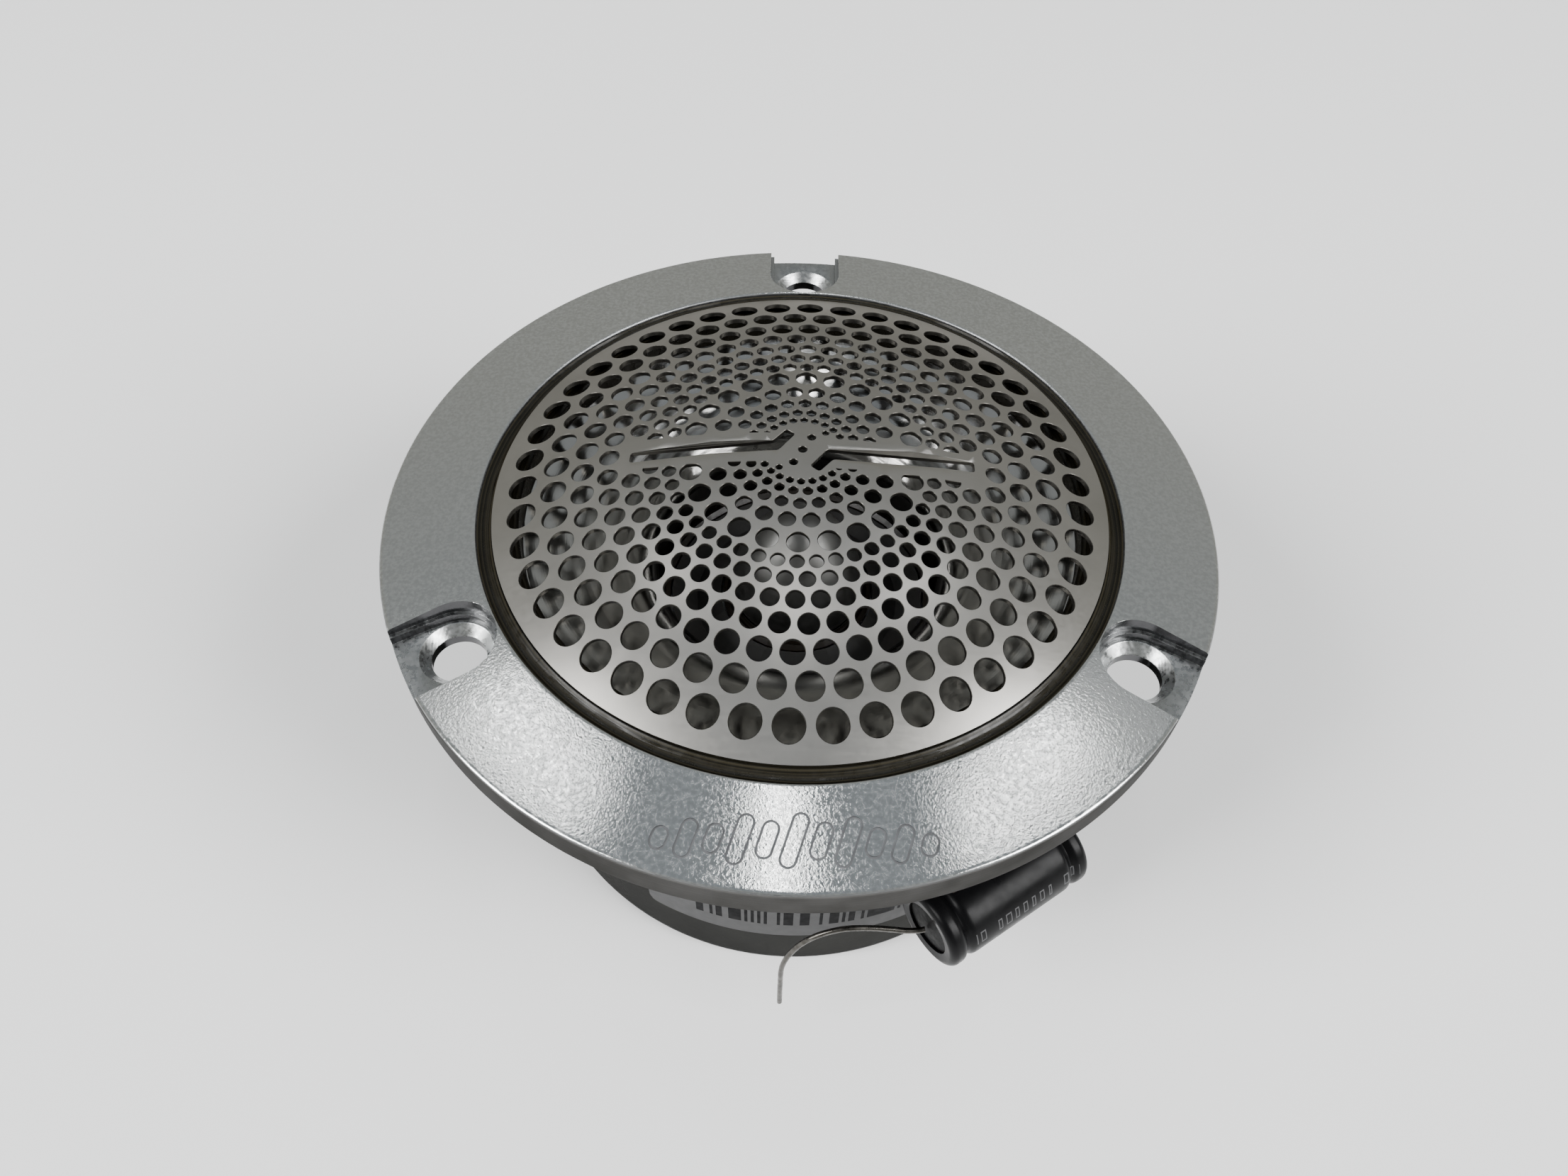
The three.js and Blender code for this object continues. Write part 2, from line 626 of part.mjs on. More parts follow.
const TINNED = { color: 0xa9a79e, metalness: 1, roughness: 0.3 };
const freeLead = [
  [15.0, -41.75, 24.1],
  [13.6, -41.9, 24.2],
  [11.8, -41.9, 24.5],
  [9.0, -42.0, 25.0],
  [6.1, -42.3, 25.2],
  [3.4, -42.7, 24.2],
  [1.4, -43.1, 22.2],
  [0.0, -43.5, 19.3],
  [-0.7, -43.9, 16.2],
  [-0.8, -44.3, 11.6],
  [-0.8, -44.7, 6.3],
];
add('capacitor_lead_free', wire(freeLead, LEAD_R, 28), TINNED);

const tiedLead = [
  [33.2, -29.55, 24.2],
  [33.9, -28.9, 24.2],
  [34.2, -27.6, 24.0],
  [34.3, -24, 23.4],
  [35.4, -19, 22.2],
  [37.0, -13, 20.8],
  [39.2, -6.5, 19.2],
  [41.3, -0.5, 18.0],
  [42.8, 4.9, 17.3],
  [42.9, 8.7, 17.0],
  [42.5, 11.5, 17.0],
];
add('capacitor_lead_tied', wire(tiedLead, LEAD_R, 26), TINNED);
add('label', label(), { color: 0xd8d8da, roughness: 0.5 });

export default tweeter;
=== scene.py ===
"""Looks of the car tweeter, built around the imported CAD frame. Metres, +Z out of the horn."""
import json
import math
import random

import bmesh
import bpy
import numpy as np
from mathutils import Matrix, Vector
from mathutils.geometry import delaunay_2d_cdt


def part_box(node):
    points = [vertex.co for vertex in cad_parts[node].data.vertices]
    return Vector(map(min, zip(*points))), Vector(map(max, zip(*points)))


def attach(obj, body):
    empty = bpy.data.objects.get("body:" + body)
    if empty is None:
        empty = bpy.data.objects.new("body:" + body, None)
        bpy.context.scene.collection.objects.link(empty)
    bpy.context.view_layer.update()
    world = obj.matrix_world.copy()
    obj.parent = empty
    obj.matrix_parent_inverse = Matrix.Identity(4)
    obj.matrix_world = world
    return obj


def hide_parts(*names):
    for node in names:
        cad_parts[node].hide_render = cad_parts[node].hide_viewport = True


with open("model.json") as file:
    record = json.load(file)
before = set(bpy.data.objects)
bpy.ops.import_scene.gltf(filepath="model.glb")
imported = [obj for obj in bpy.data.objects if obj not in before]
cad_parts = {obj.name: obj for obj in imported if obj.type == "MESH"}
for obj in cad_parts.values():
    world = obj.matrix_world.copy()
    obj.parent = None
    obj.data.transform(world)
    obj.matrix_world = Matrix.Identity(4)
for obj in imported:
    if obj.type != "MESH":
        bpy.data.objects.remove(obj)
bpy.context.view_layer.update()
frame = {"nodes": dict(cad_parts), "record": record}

MM = 0.001
TAU = math.tau
BODY = "frame"

# ---- Sizes, from the frame where it has them ----

FLANGE_LOW, FLANGE_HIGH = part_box("horn_flange")
CUP_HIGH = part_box("rear_cup")[1]
GRILLE_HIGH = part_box("grille")[1]
SLEEVE_LOW, SLEEVE_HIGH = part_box("capacitor_sleeve")
PLUG_LOW, PLUG_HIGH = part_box("phase_plug")
LABEL_LOW, LABEL_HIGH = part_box("label")

FLANGE_R = FLANGE_HIGH.x
BEZEL_Z = FLANGE_HIGH.z
FACE_DROP = 1.3 * MM
FACE_Z = BEZEL_Z - FACE_DROP
UNDERSIDE_Z = FACE_Z - 4.2 * MM
BEZEL_R = 37.86 * MM
SEAT_Z = FACE_Z - 2.2 * MM
MOUTH_R = 33 * MM
THROAT_R = 17.6 * MM
THROAT_TOP_Z = FACE_Z - 10.3 * MM
SKIRT_R = 35.8 * MM
SKIRT_Z = FLANGE_LOW.z

NOTCH_ANGLES = (90, 210, 330)
FIXING_R = 42.9 * MM
NOTCH_HALF = 4.85 * MM
SHELF_HALF = 4.4 * MM
STEP_DEPTH = 0.9 * MM
SHELF_DEPTH = 2.0 * MM
HOLE_R = 3.0 * MM
COUNTERSINK_R = 4.1 * MM
COUNTERSINK_DEPTH = 1.1 * MM

CUP_R = CUP_HIGH.x
GRILLE_R = GRILLE_HIGH.x
GRILLE_APEX_Z = GRILLE_HIGH.z
GRILLE_RISE = 7.66 * MM
GRILLE_RIM_Z = GRILLE_APEX_Z - GRILLE_RISE
GRILLE_SHEET = 0.55 * MM
DOME_R = (GRILLE_R ** 2 + GRILLE_RISE ** 2) / (2 * GRILLE_RISE)
PATTERN_TURN = math.radians(-1.4)

HEADING = math.radians(34.7)
AXIS = Vector((math.cos(HEADING), math.sin(HEADING), 0))
CAP_LENGTH = 20.6 * MM
CAP_R = (SLEEVE_HIGH.z - SLEEVE_LOW.z) / 2
CAP_MIDDLE = (SLEEVE_LOW + SLEEVE_HIGH) / 2
CAP_NEAR = CAP_MIDDLE - AXIS * CAP_LENGTH / 2
LEAD_R = 0.33 * MM


# ---- Mesh helpers ----

def piece(name, verts, faces, replaces=(), slot=None, body=BODY, sharp=32):
    """A new smooth-shaded piece that rides on a body and stands for the CAD nodes named."""
    mesh = bpy.data.meshes.new(name)
    mesh.from_pydata([tuple(v) for v in verts], [], faces)
    mesh.validate()
    made = bpy.data.objects.new(name, mesh)
    bpy.context.scene.collection.objects.link(made)
    outward(made)
    shade(made, sharp)
    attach(made, body)
    if replaces:
        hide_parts(*replaces)
    return made


def outward(made):
    work = bmesh.new()
    work.from_mesh(made.data)
    bmesh.ops.recalc_face_normals(work, faces=work.faces)
    work.to_mesh(made.data)
    work.free()


def shade(made, sharp=32):
    made.data.polygons.foreach_set("use_smooth", [True] * len(made.data.polygons))
    made.data.set_sharp_from_angle(angle=math.radians(sharp))


def lathe(outline, segments=224):
    """Vertices and faces of a turned solid from its closed outline of (radius, z)."""
    verts, rows = [], []
    for radius, z in braced(outline, 0.12 * MM):
        if radius < 1e-9:
            rows.append([len(verts)] * segments)
            verts.append((0, 0, z))
            continue
        rows.append(range(len(verts), len(verts) + segments))
        for i in range(segments):
            turn = TAU * i / segments
            verts.append((radius * math.cos(turn), radius * math.sin(turn), z))
    faces = []
    for low, high in zip(rows, rows[1:] + rows[:1]):
        for i in range(segments):
            j = (i + 1) % segments
            corners = list(dict.fromkeys((low[i], low[j], high[j], high[i])))
            if len(corners) > 2:
                faces.append(corners)
    return verts, faces


def braced(outline, reach):
    """The outline with a point just inside each end of its long runs, so that edges stay narrow."""
    made = []
    for here, after in zip(outline, outline[1:] + outline[:1]):
        made.append(tuple(here))
        length = math.dist(here, after)
        if length > 6 * reach:
            t = reach / length
            made.append((here[0] + (after[0] - here[0]) * t, here[1] + (after[1] - here[1]) * t))
            made.append((after[0] + (here[0] - after[0]) * t, after[1] + (here[1] - after[1]) * t))
    return made


def softened(points, steps=5):
    """A closed outline whose corners given as (x, y, soft) are rounded over that length."""
    made = []
    for i, point in enumerate(points):
        here = Vector(point[:2])
        if len(point) < 3:
            made.append(tuple(here))
            continue
        before, after = Vector(points[i - 1][:2]), Vector(points[(i + 1) % len(points)][:2])
        reach = min(point[2], (before - here).length * 0.49, (after - here).length * 0.49)
        start = here + (before - here).normalized() * reach
        end = here + (after - here).normalized() * reach
        for step in range(steps + 1):
            t = step / steps
            made.append(tuple(start * (1 - t) ** 2 + here * 2 * t * (1 - t) + end * t * t))
    return made


def prism(outline, low, high):
    """Vertices and faces of an upright prism over a closed outline."""
    count = len(outline)
    verts = [(x, y, z) for z in (low, high) for x, y in outline]
    faces = [list(range(count))[::-1], list(range(count, 2 * count))]
    faces += [[i, (i + 1) % count, count + (i + 1) % count, count + i] for i in range(count)]
    return verts, faces


def turned_about_z(verts, degrees, centre=(0, 0)):
    turn = Matrix.Rotation(math.radians(degrees), 3, "Z")
    return [turn @ (Vector(v) + Vector((*centre, 0))) for v in verts]


def carve(made, cutters):
    """Cuts the solids given as (verts, faces) out of a piece, one after the other."""
    for k, (verts, faces) in enumerate(cutters):
        mesh = bpy.data.meshes.new("cutter")
        mesh.from_pydata([tuple(v) for v in verts], [], faces)
        cutter = bpy.data.objects.new("cutter", mesh)
        bpy.context.scene.collection.objects.link(cutter)
        outward(cutter)
        cut = made.modifiers.new(f"cut_{k}", "BOOLEAN")
        cut.operation = "DIFFERENCE"
        cut.solver = "EXACT"
        cut.object = cutter
        settle(made)
        bpy.data.objects.remove(cutter)


def settle(made):
    """Applies a piece's modifiers to its mesh."""
    graph = bpy.context.evaluated_depsgraph_get()
    mesh = bpy.data.meshes.new_from_object(made.evaluated_get(graph))
    made.modifiers.clear()
    made.data = mesh


def bevelled(made, width, segments=2, angle=38):
    bevel = made.modifiers.new("bevel", "BEVEL")
    bevel.width = width
    bevel.segments = segments
    bevel.limit_method = "ANGLE"
    bevel.angle_limit = math.radians(angle)
    bevel.use_clamp_overlap = True
    settle(made)


def even_shading(made):
    """Lets large faces decide the shading, so that thin triangles between them don't show."""
    weighted = made.modifiers.new("even_shading", "WEIGHTED_NORMAL")
    weighted.mode = "FACE_AREA"
    weighted.weight = 50
    weighted.keep_sharp = True
    settle(made)


def tube(points, radius, sides=16, per_span=8):
    """Vertices and faces of a round wire along a smooth curve through the points, with flat cut ends."""
    line = smooth_line(points, per_span)
    verts, faces = [], []
    side = None
    for i, here in enumerate(line):
        ahead = (line[min(i + 1, len(line) - 1)] - line[max(i - 1, 0)]).normalized()
        side = ahead.orthogonal() if side is None else (side - ahead * side.dot(ahead))
        side.normalize()
        up = ahead.cross(side)
        for k in range(sides):
            turn = TAU * k / sides
            verts.append(here + side * math.cos(turn) * radius + up * math.sin(turn) * radius)
    for i in range(len(line) - 1):
        for k in range(sides):
            a, b = i * sides + k, i * sides + (k + 1) % sides
            faces.append([a, b, b + sides, a + sides])
    faces.append(list(range(sides))[::-1])
    faces.append([(len(line) - 1) * sides + k for k in range(sides)])
    return verts, faces


def smooth_line(points, per_span):
    """A Catmull-Rom line through the points."""
    through = [Vector(p) for p in points]
    through = [through[0] * 2 - through[1]] + through + [through[-1] * 2 - through[-2]]
    line = []
    for a, b, c, d in zip(through, through[1:], through[2:], through[3:]):
        for step in range(per_span):
            t = step / per_span
            line.append(0.5 * (2 * b + (c - a) * t + (2 * a - 5 * b + 4 * c - d) * t * t
                               + (3 * b - a - 3 * c + d) * t ** 3))
    line.append(through[-2])
    return line


# ---- Materials ----

class Look:
    """A Principled material with its node tree at hand."""

    def __init__(self, name, colour, metallic=0.0, roughness=0.4, **constants):
        self.material = bpy.data.materials.new(name)
        self.material.use_nodes = True
        self.tree = self.material.node_tree
        self.shader = self.tree.nodes["Principled BSDF"]
        self.shader.inputs["Base Color"].default_value = (*colour, 1)
        self.shader.inputs["Metallic"].default_value = metallic
        self.shader.inputs["Roughness"].default_value = roughness
        for socket, value in constants.items():
            self.shader.inputs[socket.replace("_", " ")].default_value = value
        self.place = self.node("ShaderNodeTexCoord").outputs["Object"]
        self.last_normal = None

    def node(self, kind, **settings):
        made = self.tree.nodes.new(kind)
        for key, value in settings.items():
            setattr(made, key, value)
        return made

    def link(self, out, into):
        self.tree.links.new(out, into)

    def stretched(self, scale, turn=(0, 0, 0), source=None):
        mapping = self.node("ShaderNodeMapping")
        mapping.inputs["Scale"].default_value = scale
        mapping.inputs["Rotation"].default_value = turn
        self.link(source or self.place, mapping.inputs["Vector"])
        return mapping.outputs["Vector"]

    def noise(self, scale, detail=3, roughness=0.5, source=None, dimensions="3D"):
        made = self.node("ShaderNodeTexNoise", noise_dimensions=dimensions)
        made.inputs["Scale"].default_value = scale
        made.inputs["Detail"].default_value = detail
        made.inputs["Roughness"].default_value = roughness
        into = "W" if dimensions == "1D" else "Vector"
        self.link(source or self.place, made.inputs[into])
        return made.outputs["Fac"]

    def turned(self, strength):
        """Draws the highlights out across the lines that turning round Z leaves."""
        self.shader.inputs["Anisotropic"].default_value = strength
        self.shader.inputs["Anisotropic Rotation"].default_value = 0.25
        tangent = self.node("ShaderNodeTangent", direction_type="RADIAL", axis="Z")
        self.link(tangent.outputs[0], self.shader.inputs["Tangent"])

    def radius(self):
        parts = self.node("ShaderNodeSeparateXYZ")
        self.link(self.place, parts.inputs[0])
        flat = self.node("ShaderNodeCombineXYZ")
        self.link(parts.outputs["X"], flat.inputs["X"])
        self.link(parts.outputs["Y"], flat.inputs["Y"])
        length = self.node("ShaderNodeVectorMath", operation="LENGTH")
        self.link(flat.outputs[0], length.inputs[0])
        return length.outputs["Value"]

    def height(self):
        parts = self.node("ShaderNodeSeparateXYZ")
        self.link(self.place, parts.inputs[0])
        return parts.outputs["Z"]

    def dot(self, origin, direction):
        """How far a point is from the origin along a direction."""
        moved = self.node("ShaderNodeVectorMath", operation="SUBTRACT")
        self.link(self.place, moved.inputs[0])
        moved.inputs[1].default_value = origin
        product = self.node("ShaderNodeVectorMath", operation="DOT_PRODUCT")
        self.link(moved.outputs[0], product.inputs[0])
        product.inputs[1].default_value = direction
        return product.outputs["Value"]

    def maths(self, operation, a, b=None):
        made = self.node("ShaderNodeMath", operation=operation)
        for value, socket in zip((a, b), made.inputs):
            if value is None:
                continue
            if isinstance(value, (int, float)):
                socket.default_value = value
            else:
                self.link(value, socket)
        return made.outputs[0]

    def both(self, a, b):
        """1 where both values are 1."""
        return self.maths("MULTIPLY", a, b)

    def ranged(self, value, low, high, out_low, out_high):
        made = self.node("ShaderNodeMapRange", clamp=True)
        self.link(value, made.inputs["Value"])
        limits = {"From Min": low, "From Max": high, "To Min": out_low, "To Max": out_high}
        for socket, number in limits.items():
            made.inputs[socket].default_value = number
        return made.outputs[0]

    def rough(self, value, low, high, span=(0.3, 0.7)):
        self.link(self.ranged(value, *span, low, high), self.shader.inputs["Roughness"])
        return self

    def tint(self, value, dark, light, span=(0.3, 0.7)):
        """Base colour from dark to light as the value goes through the span."""
        ramp = self.node("ShaderNodeValToRGB")
        ramp.color_ramp.elements[0].position, ramp.color_ramp.elements[1].position = span
        ramp.color_ramp.elements[0].color = (*dark, 1)
        ramp.color_ramp.elements[1].color = (*light, 1)
        self.link(value, ramp.inputs[0])
        self.link(ramp.outputs[0], self.shader.inputs["Base Color"])
        return ramp.outputs[0]

    def bump(self, value, depth, strength=1.0):
        made = self.node("ShaderNodeBump")
        made.inputs["Strength"].default_value = strength
        made.inputs["Distance"].default_value = depth
        self.link(value, made.inputs["Height"])
        if self.last_normal:
            self.link(self.last_normal, made.inputs["Normal"])
        self.last_normal = made.outputs[0]
        self.link(self.last_normal, self.shader.inputs["Normal"])
        return self


def face_aluminium():
    """Satin machined face: highlights drawn out across the turning lines and broken up by fine grain."""
    look = Look("face_aluminium", (0.66, 0.67, 0.66), 1.0, 0.16)
    look.turned(0.75)
    grain = look.noise(3400, 2, 0.55)
    flecks = look.noise(2300, 2, 0.6)
    look.rough(flecks, 0.06, 0.22, (0.38, 0.62))
    look.tint(flecks, (0.62, 0.63, 0.62), (0.71, 0.72, 0.71), (0.38, 0.62))
    look.bump(grain, 0.016 * MM, 0.8)
    return look.material


def edge_aluminium():
    """Turned side wall and underside, painted much darker than the face as shade, with fine lines round
    the axis.
    """
    tint = (0.3, 0.3, 0.3, 1)
    # Painted shade: the same aluminium as the face, given a near-black base colour and tint here.
    look = Look("edge_aluminium", (0.1, 0.1, 0.1), 1.0, 0.34, Specular_Tint=tint)
    lines = look.noise(9000, 2, 0.5, look.maths("ADD", look.radius(), look.height()), "1D")
    look.rough(lines, 0.3, 0.45)
    look.tint(look.noise(240, 3), (0.09, 0.089, 0.086), (0.12, 0.118, 0.115))
    look.bump(lines, 0.006 * MM, 0.5)
    return look.material


def milled_aluminium():
    """Milled shelf and countersink: faint cutter arcs and bright facets."""
    look = Look("milled_aluminium", (0.42, 0.43, 0.43), 1.0, 0.22)
    arcs = look.node("ShaderNodeTexWave", wave_type="RINGS", rings_direction="SPHERICAL")
    arcs.inputs["Scale"].default_value = 900
    arcs.inputs["Distortion"].default_value = 0.5
    arcs.inputs["Detail"].default_value = 1
    look.link(look.place, arcs.inputs["Vector"])
    look.rough(look.noise(1800, 4), 0.18, 0.42)
    look.bump(arcs.outputs["Fac"], 0.01 * MM, 0.3)
    look.bump(look.noise(2400, 2), 0.008 * MM, 0.4)
    return look.material


def horn_aluminium():
    """Turned horn wall: highlights drawn out along it, with painted shade that darkens it down in the
    throat.
    """
    look = Look("horn_aluminium", (0.5, 0.495, 0.48), 1.0, 0.12)
    look.turned(0.7)
    # Painted shade: the colour falls to near-black with depth, standing for the shadow down in the
    # throat.
    look.tint(look.height(), (0.13, 0.128, 0.122), (0.52, 0.515, 0.5), (THROAT_TOP_Z, FACE_Z - 5 * MM))
    lines = look.noise(5200, 3, 0.6, look.radius(), "1D")
    look.rough(look.noise(500, 3), 0.08, 0.16)
    look.bump(lines, 0.006 * MM, 0.4)
    look.bump(look.noise(420, 2), 0.02 * MM, 0.2)
    return look.material


def notch_wall_aluminium():
    """Cutter-polished walls of the notches, painted near-black as shade and as the reflection of the
    dark recess.
    """
    return plain_look("notch_wall_aluminium", (0.07, 0.07, 0.073), 1.0, 0.2, 1500, 0.004)


def engraved_aluminium():
    # Partly painted shade: the grooves' higher roughness is their own, but their darker base colour
    # stands for the shade inside the grooves.
    return plain_look("engraved_aluminium", (0.22, 0.225, 0.23), 1.0, 0.4, 3000, 0.02)


def plug_aluminium():
    look = Look("plug_aluminium", (0.2, 0.2, 0.193), 1.0, 0.42)
    lines = look.noise(6000, 2, 0.5, look.maths("ADD", look.radius(), look.height()), "1D")
    look.rough(look.noise(900, 3), 0.36, 0.5)
    look.bump(lines, 0.012 * MM, 0.6)
    return look.material


def grille_steel():
    """Stainless sheet, faintly brushed, with a warm grey tone that clouds a little."""
    look = Look("grille_steel", (0.47, 0.45, 0.42), 1.0, 0.34, Specular_Tint=(0.45, 0.44, 0.42, 1))
    fine = look.noise(1800, 2, 0.5)
    look.tint(look.noise(90, 4), (0.42, 0.405, 0.377), (0.5, 0.482, 0.452))
    brushed = look.noise(2600, 2, 0.5, look.stretched((0.06, 1, 1), (0, 0, 0.35)))
    look.rough(look.maths("MULTIPLY", look.maths("ADD", fine, brushed), 0.5), 0.28, 0.32)
    look.bump(fine, 0.001 * MM, 0.3)
    return look.material


def sealant():
    """Dark olive-brown set sealant with streaks that run round the groove."""
    look = Look("sealant", (0.02, 0.018, 0.012), 0.0, 0.3, Specular_IOR_Level=0.25)
    streaks = look.noise(2600, 4, 0.6, look.radius(), "1D")
    look.tint(streaks, (0.004, 0.0035, 0.002), (0.035, 0.03, 0.018), (0.42, 0.78))
    look.rough(look.noise(900, 3), 0.2, 0.4)
    look.bump(streaks, 0.05 * MM, 0.6)
    look.bump(look.noise(500, 3), 0.05 * MM, 0.4)
    return look.material


def cup_metal():
    """Plated cup, painted dark grey as the shade under the flange, that mirrors little of the floor."""
    tint = (0.25, 0.25, 0.25, 1)
    # Painted shade: the base colour and its tint are kept dark for the shadow the flange casts over the
    # cup.
    look = Look("cup_metal", (0.06, 0.06, 0.057), 0.85, 0.4, Specular_Tint=tint, Specular_IOR_Level=0.2)
    fine = look.noise(1400, 4, 0.6)
    look.tint(look.noise(70, 4), (0.052, 0.052, 0.05), (0.068, 0.068, 0.065))
    look.rough(fine, 0.36, 0.5)
    look.bump(fine, 0.01 * MM, 0.5)
    return look.material


def sleeve_plastic():
    """Black shrink sleeve with slight ripples and a row of plain light frames where a print would be."""
    look = Look("sleeve_plastic", (0.003, 0.003, 0.0034), 0.0, 0.3, Specular_IOR_Level=0.09)
    cloudy = look.noise(300, 3)
    look.rough(look.noise(600, 3), 0.26, 0.38)
    look.bump(look.noise(260, 2), 0.05 * MM, 0.3)
    prints = look.maths("MULTIPLY", frame_row(look), 0.7)
    value = look.maths("ADD", look.maths("MULTIPLY", cloudy, 0.3), prints)
    look.tint(value, (0.003, 0.003, 0.0034), (0.08, 0.08, 0.083), (0.3, 0.75))
    return look.material


def frame_row(look):
    """1 on a row of small outlined frames along the capacitor's front, and 0 elsewhere."""
    row_turn, pitch, first, last = 0.4, 1.25 * MM, 3.4 * MM, 19 * MM
    half_height, line_height, line_width = 0.16, 0.035, 0.1
    empty_share = 0.22
    up = Vector((0, 0, 1))
    along = look.dot(CAP_NEAR, AXIS)
    turn = look.maths("ARCTAN2", look.dot(CAP_NEAR, up), look.dot(CAP_NEAR, AXIS.cross(up)))
    cell = look.maths("DIVIDE", along, pitch)
    chance = look.node("ShaderNodeTexWhiteNoise", noise_dimensions="1D")
    look.link(look.maths("FLOOR", cell), chance.inputs["W"])
    across = look.maths("ABSOLUTE", look.maths("SUBTRACT", turn, row_turn))
    ahead = look.maths("ABSOLUTE", look.maths("SUBTRACT", look.maths("FRACT", cell), 0.5))
    half_width = look.maths("ADD", look.maths("MULTIPLY", chance.outputs["Value"], 0.3), 0.06)
    inner_width = look.maths("SUBTRACT", half_width, line_width)
    outside = look.both(look.maths("LESS_THAN", across, half_height),
                        look.maths("LESS_THAN", ahead, half_width))
    inside = look.both(look.maths("LESS_THAN", across, half_height - line_height),
                       look.maths("LESS_THAN", ahead, inner_width))
    marks = look.maths("SUBTRACT", outside, inside)
    marks = look.both(marks, look.maths("GREATER_THAN", along, first))
    marks = look.both(marks, look.maths("LESS_THAN", along, last))
    return look.both(marks, look.maths("GREATER_THAN", chance.outputs["Value"], empty_share))


def tinned_wire():
    look = Look("tinned_wire", (0.5, 0.485, 0.45), 1.0, 0.3)
    look.tint(look.noise(900, 4), (0.045, 0.042, 0.037), (0.12, 0.114, 0.104))
    look.rough(look.noise(1300, 4), 0.2, 0.42)
    look.bump(look.noise(2200, 3), 0.02 * MM, 0.6)
    return look.material


def plain_look(name, colour, metallic, roughness, grain=900, depth=0.02):
    """A material with a little variation of tone, gloss and grain, for the pieces inside."""
    look = Look(name, colour, metallic, roughness)
    fine = look.noise(grain, 4, 0.6)
    dark = tuple(c * 0.82 for c in colour)
    light = tuple(min(1, c * 1.15) for c in colour)
    look.tint(look.noise(grain * 0.2, 3), dark, light)
    look.rough(fine, roughness * 0.85, min(1, roughness * 1.2))
    look.bump(fine, depth * MM, 0.5)
    return look.material


# ---- Horn flange ----

def face_height(x, y):
    """Height of the flange's slightly conical face."""
    return FACE_Z + FACE_DROP * (FLANGE_R - math.hypot(x, y)) / (FLANGE_R - BEZEL_R)


def notch_outline(half):
    arc = [(FIXING_R + half * math.cos(a), half * math.sin(a))
           for a in np.linspace(math.pi / 2, math.pi * 1.5, 28)]
    return [(FLANGE_R + MM, -half), (FLANGE_R + MM, half)] + arc


def bezier(a, b, c, d, steps):
    line = []
    for step in range(steps + 1):
        t = step / steps
        u = 1 - t
        line.append(tuple(u ** 3 * p + 3 * t * u ** 2 * q + 3 * t * t * u * r + t ** 3 * s
                          for p, q, r, s in zip(a, b, c, d)))
    return line


FACE, EDGE, MILLED, HORN, ENGRAVED, NOTCH_WALL = range(6)


def build_flange():
    mouth, throat = (MOUTH_R, SEAT_Z), (THROAT_R, THROAT_TOP_Z)
    pulls = ((26.5 * MM, FACE_Z - 3.9 * MM), (THROAT_R + 1.4 * MM, FACE_Z - 5.9 * MM))
    flare = bezier(mouth, *pulls, throat, 26)
    outline = softened([
        (THROAT_R, SKIRT_Z),
        (SKIRT_R, SKIRT_Z),
        (SKIRT_R, UNDERSIDE_Z),
        (FLANGE_R, UNDERSIDE_Z, 0.35 * MM),
        (FLANGE_R, FACE_Z, 0.45 * MM),
        (BEZEL_R, BEZEL_Z, 0.35 * MM),
        (BEZEL_R, SEAT_Z),
    ]) + flare
    flange = piece("horn_flange_turned", *lathe(outline, 288), ("horn_flange",), "machined_aluminium")
    cutters = []
    for angle in NOTCH_ANGLES:
        for half, depth in ((NOTCH_HALF, STEP_DEPTH), (SHELF_HALF, SHELF_DEPTH)):
            verts, faces = prism(notch_outline(half), FACE_Z - depth, FACE_Z + 4 * MM)
            cutters.append((turned_about_z(verts, angle), faces))
        shelf = FACE_Z - SHELF_DEPTH
        hole = [(0, shelf - 9 * MM), (HOLE_R, shelf - 9 * MM), (HOLE_R, shelf - COUNTERSINK_DEPTH),
                (COUNTERSINK_R, shelf), (COUNTERSINK_R, shelf + MM), (0, shelf + MM)]
        verts, faces = lathe(hole, 64)
        cutters.append((turned_about_z(verts, angle, (FIXING_R, 0)), faces))
    carve(flange, cutters)
    bevelled(flange, 0.09 * MM, 1)
    carve(flange, ornament_cutters())
    shade(flange, 30)
    looks = [face_aluminium(), edge_aluminium(), milled_aluminium(), horn_aluminium(),
             engraved_aluminium(), notch_wall_aluminium()]
    flange.data.materials.clear()
    for look in looks:
        flange.data.materials.append(look)
    for face in flange.data.polygons:
        face.material_index = flange_look(face)


def flange_look(face):
    """Which material a face of the flange has, from where it lies."""
    x, y, z = face.center
    radius = math.hypot(x, y)
    margin = 0.1 * MM
    if radius < MOUTH_R + margin / 2 and z < SEAT_Z + margin:
        return HORN
    if z < UNDERSIDE_Z + margin or radius < BEZEL_R - margin or radius > FLANGE_R - margin:
        return EDGE
    if z > face_height(x, y) - margin / 2:
        return FACE
    if not in_notch(x, y):
        return ENGRAVED
    return MILLED if face.normal.z > 0.3 else NOTCH_WALL


def in_notch(x, y):
    for angle in NOTCH_ANGLES:
        turn = math.radians(angle)
        along = x * math.cos(turn) + y * math.sin(turn)
        across = abs(y * math.cos(turn) - x * math.sin(turn))
        if across < NOTCH_HALF + MM and along > BEZEL_R:
            return True
    return False


def capsule(cx, cy, half_length, radius, lean, steps=14):
    """Outline of a leaning capsule."""
    ends = []
    for side in (1, -1):
        for a in np.linspace(0, math.pi, steps):
            ends.append((radius * math.cos(a), side * (half_length + radius * math.sin(a))) if side > 0
                        else (-radius * math.cos(a), -half_length - radius * math.sin(a)))
    turn = Matrix.Rotation(lean, 2)
    return [tuple(turn @ Vector(p) + Vector((cx, cy))) for p in ends]


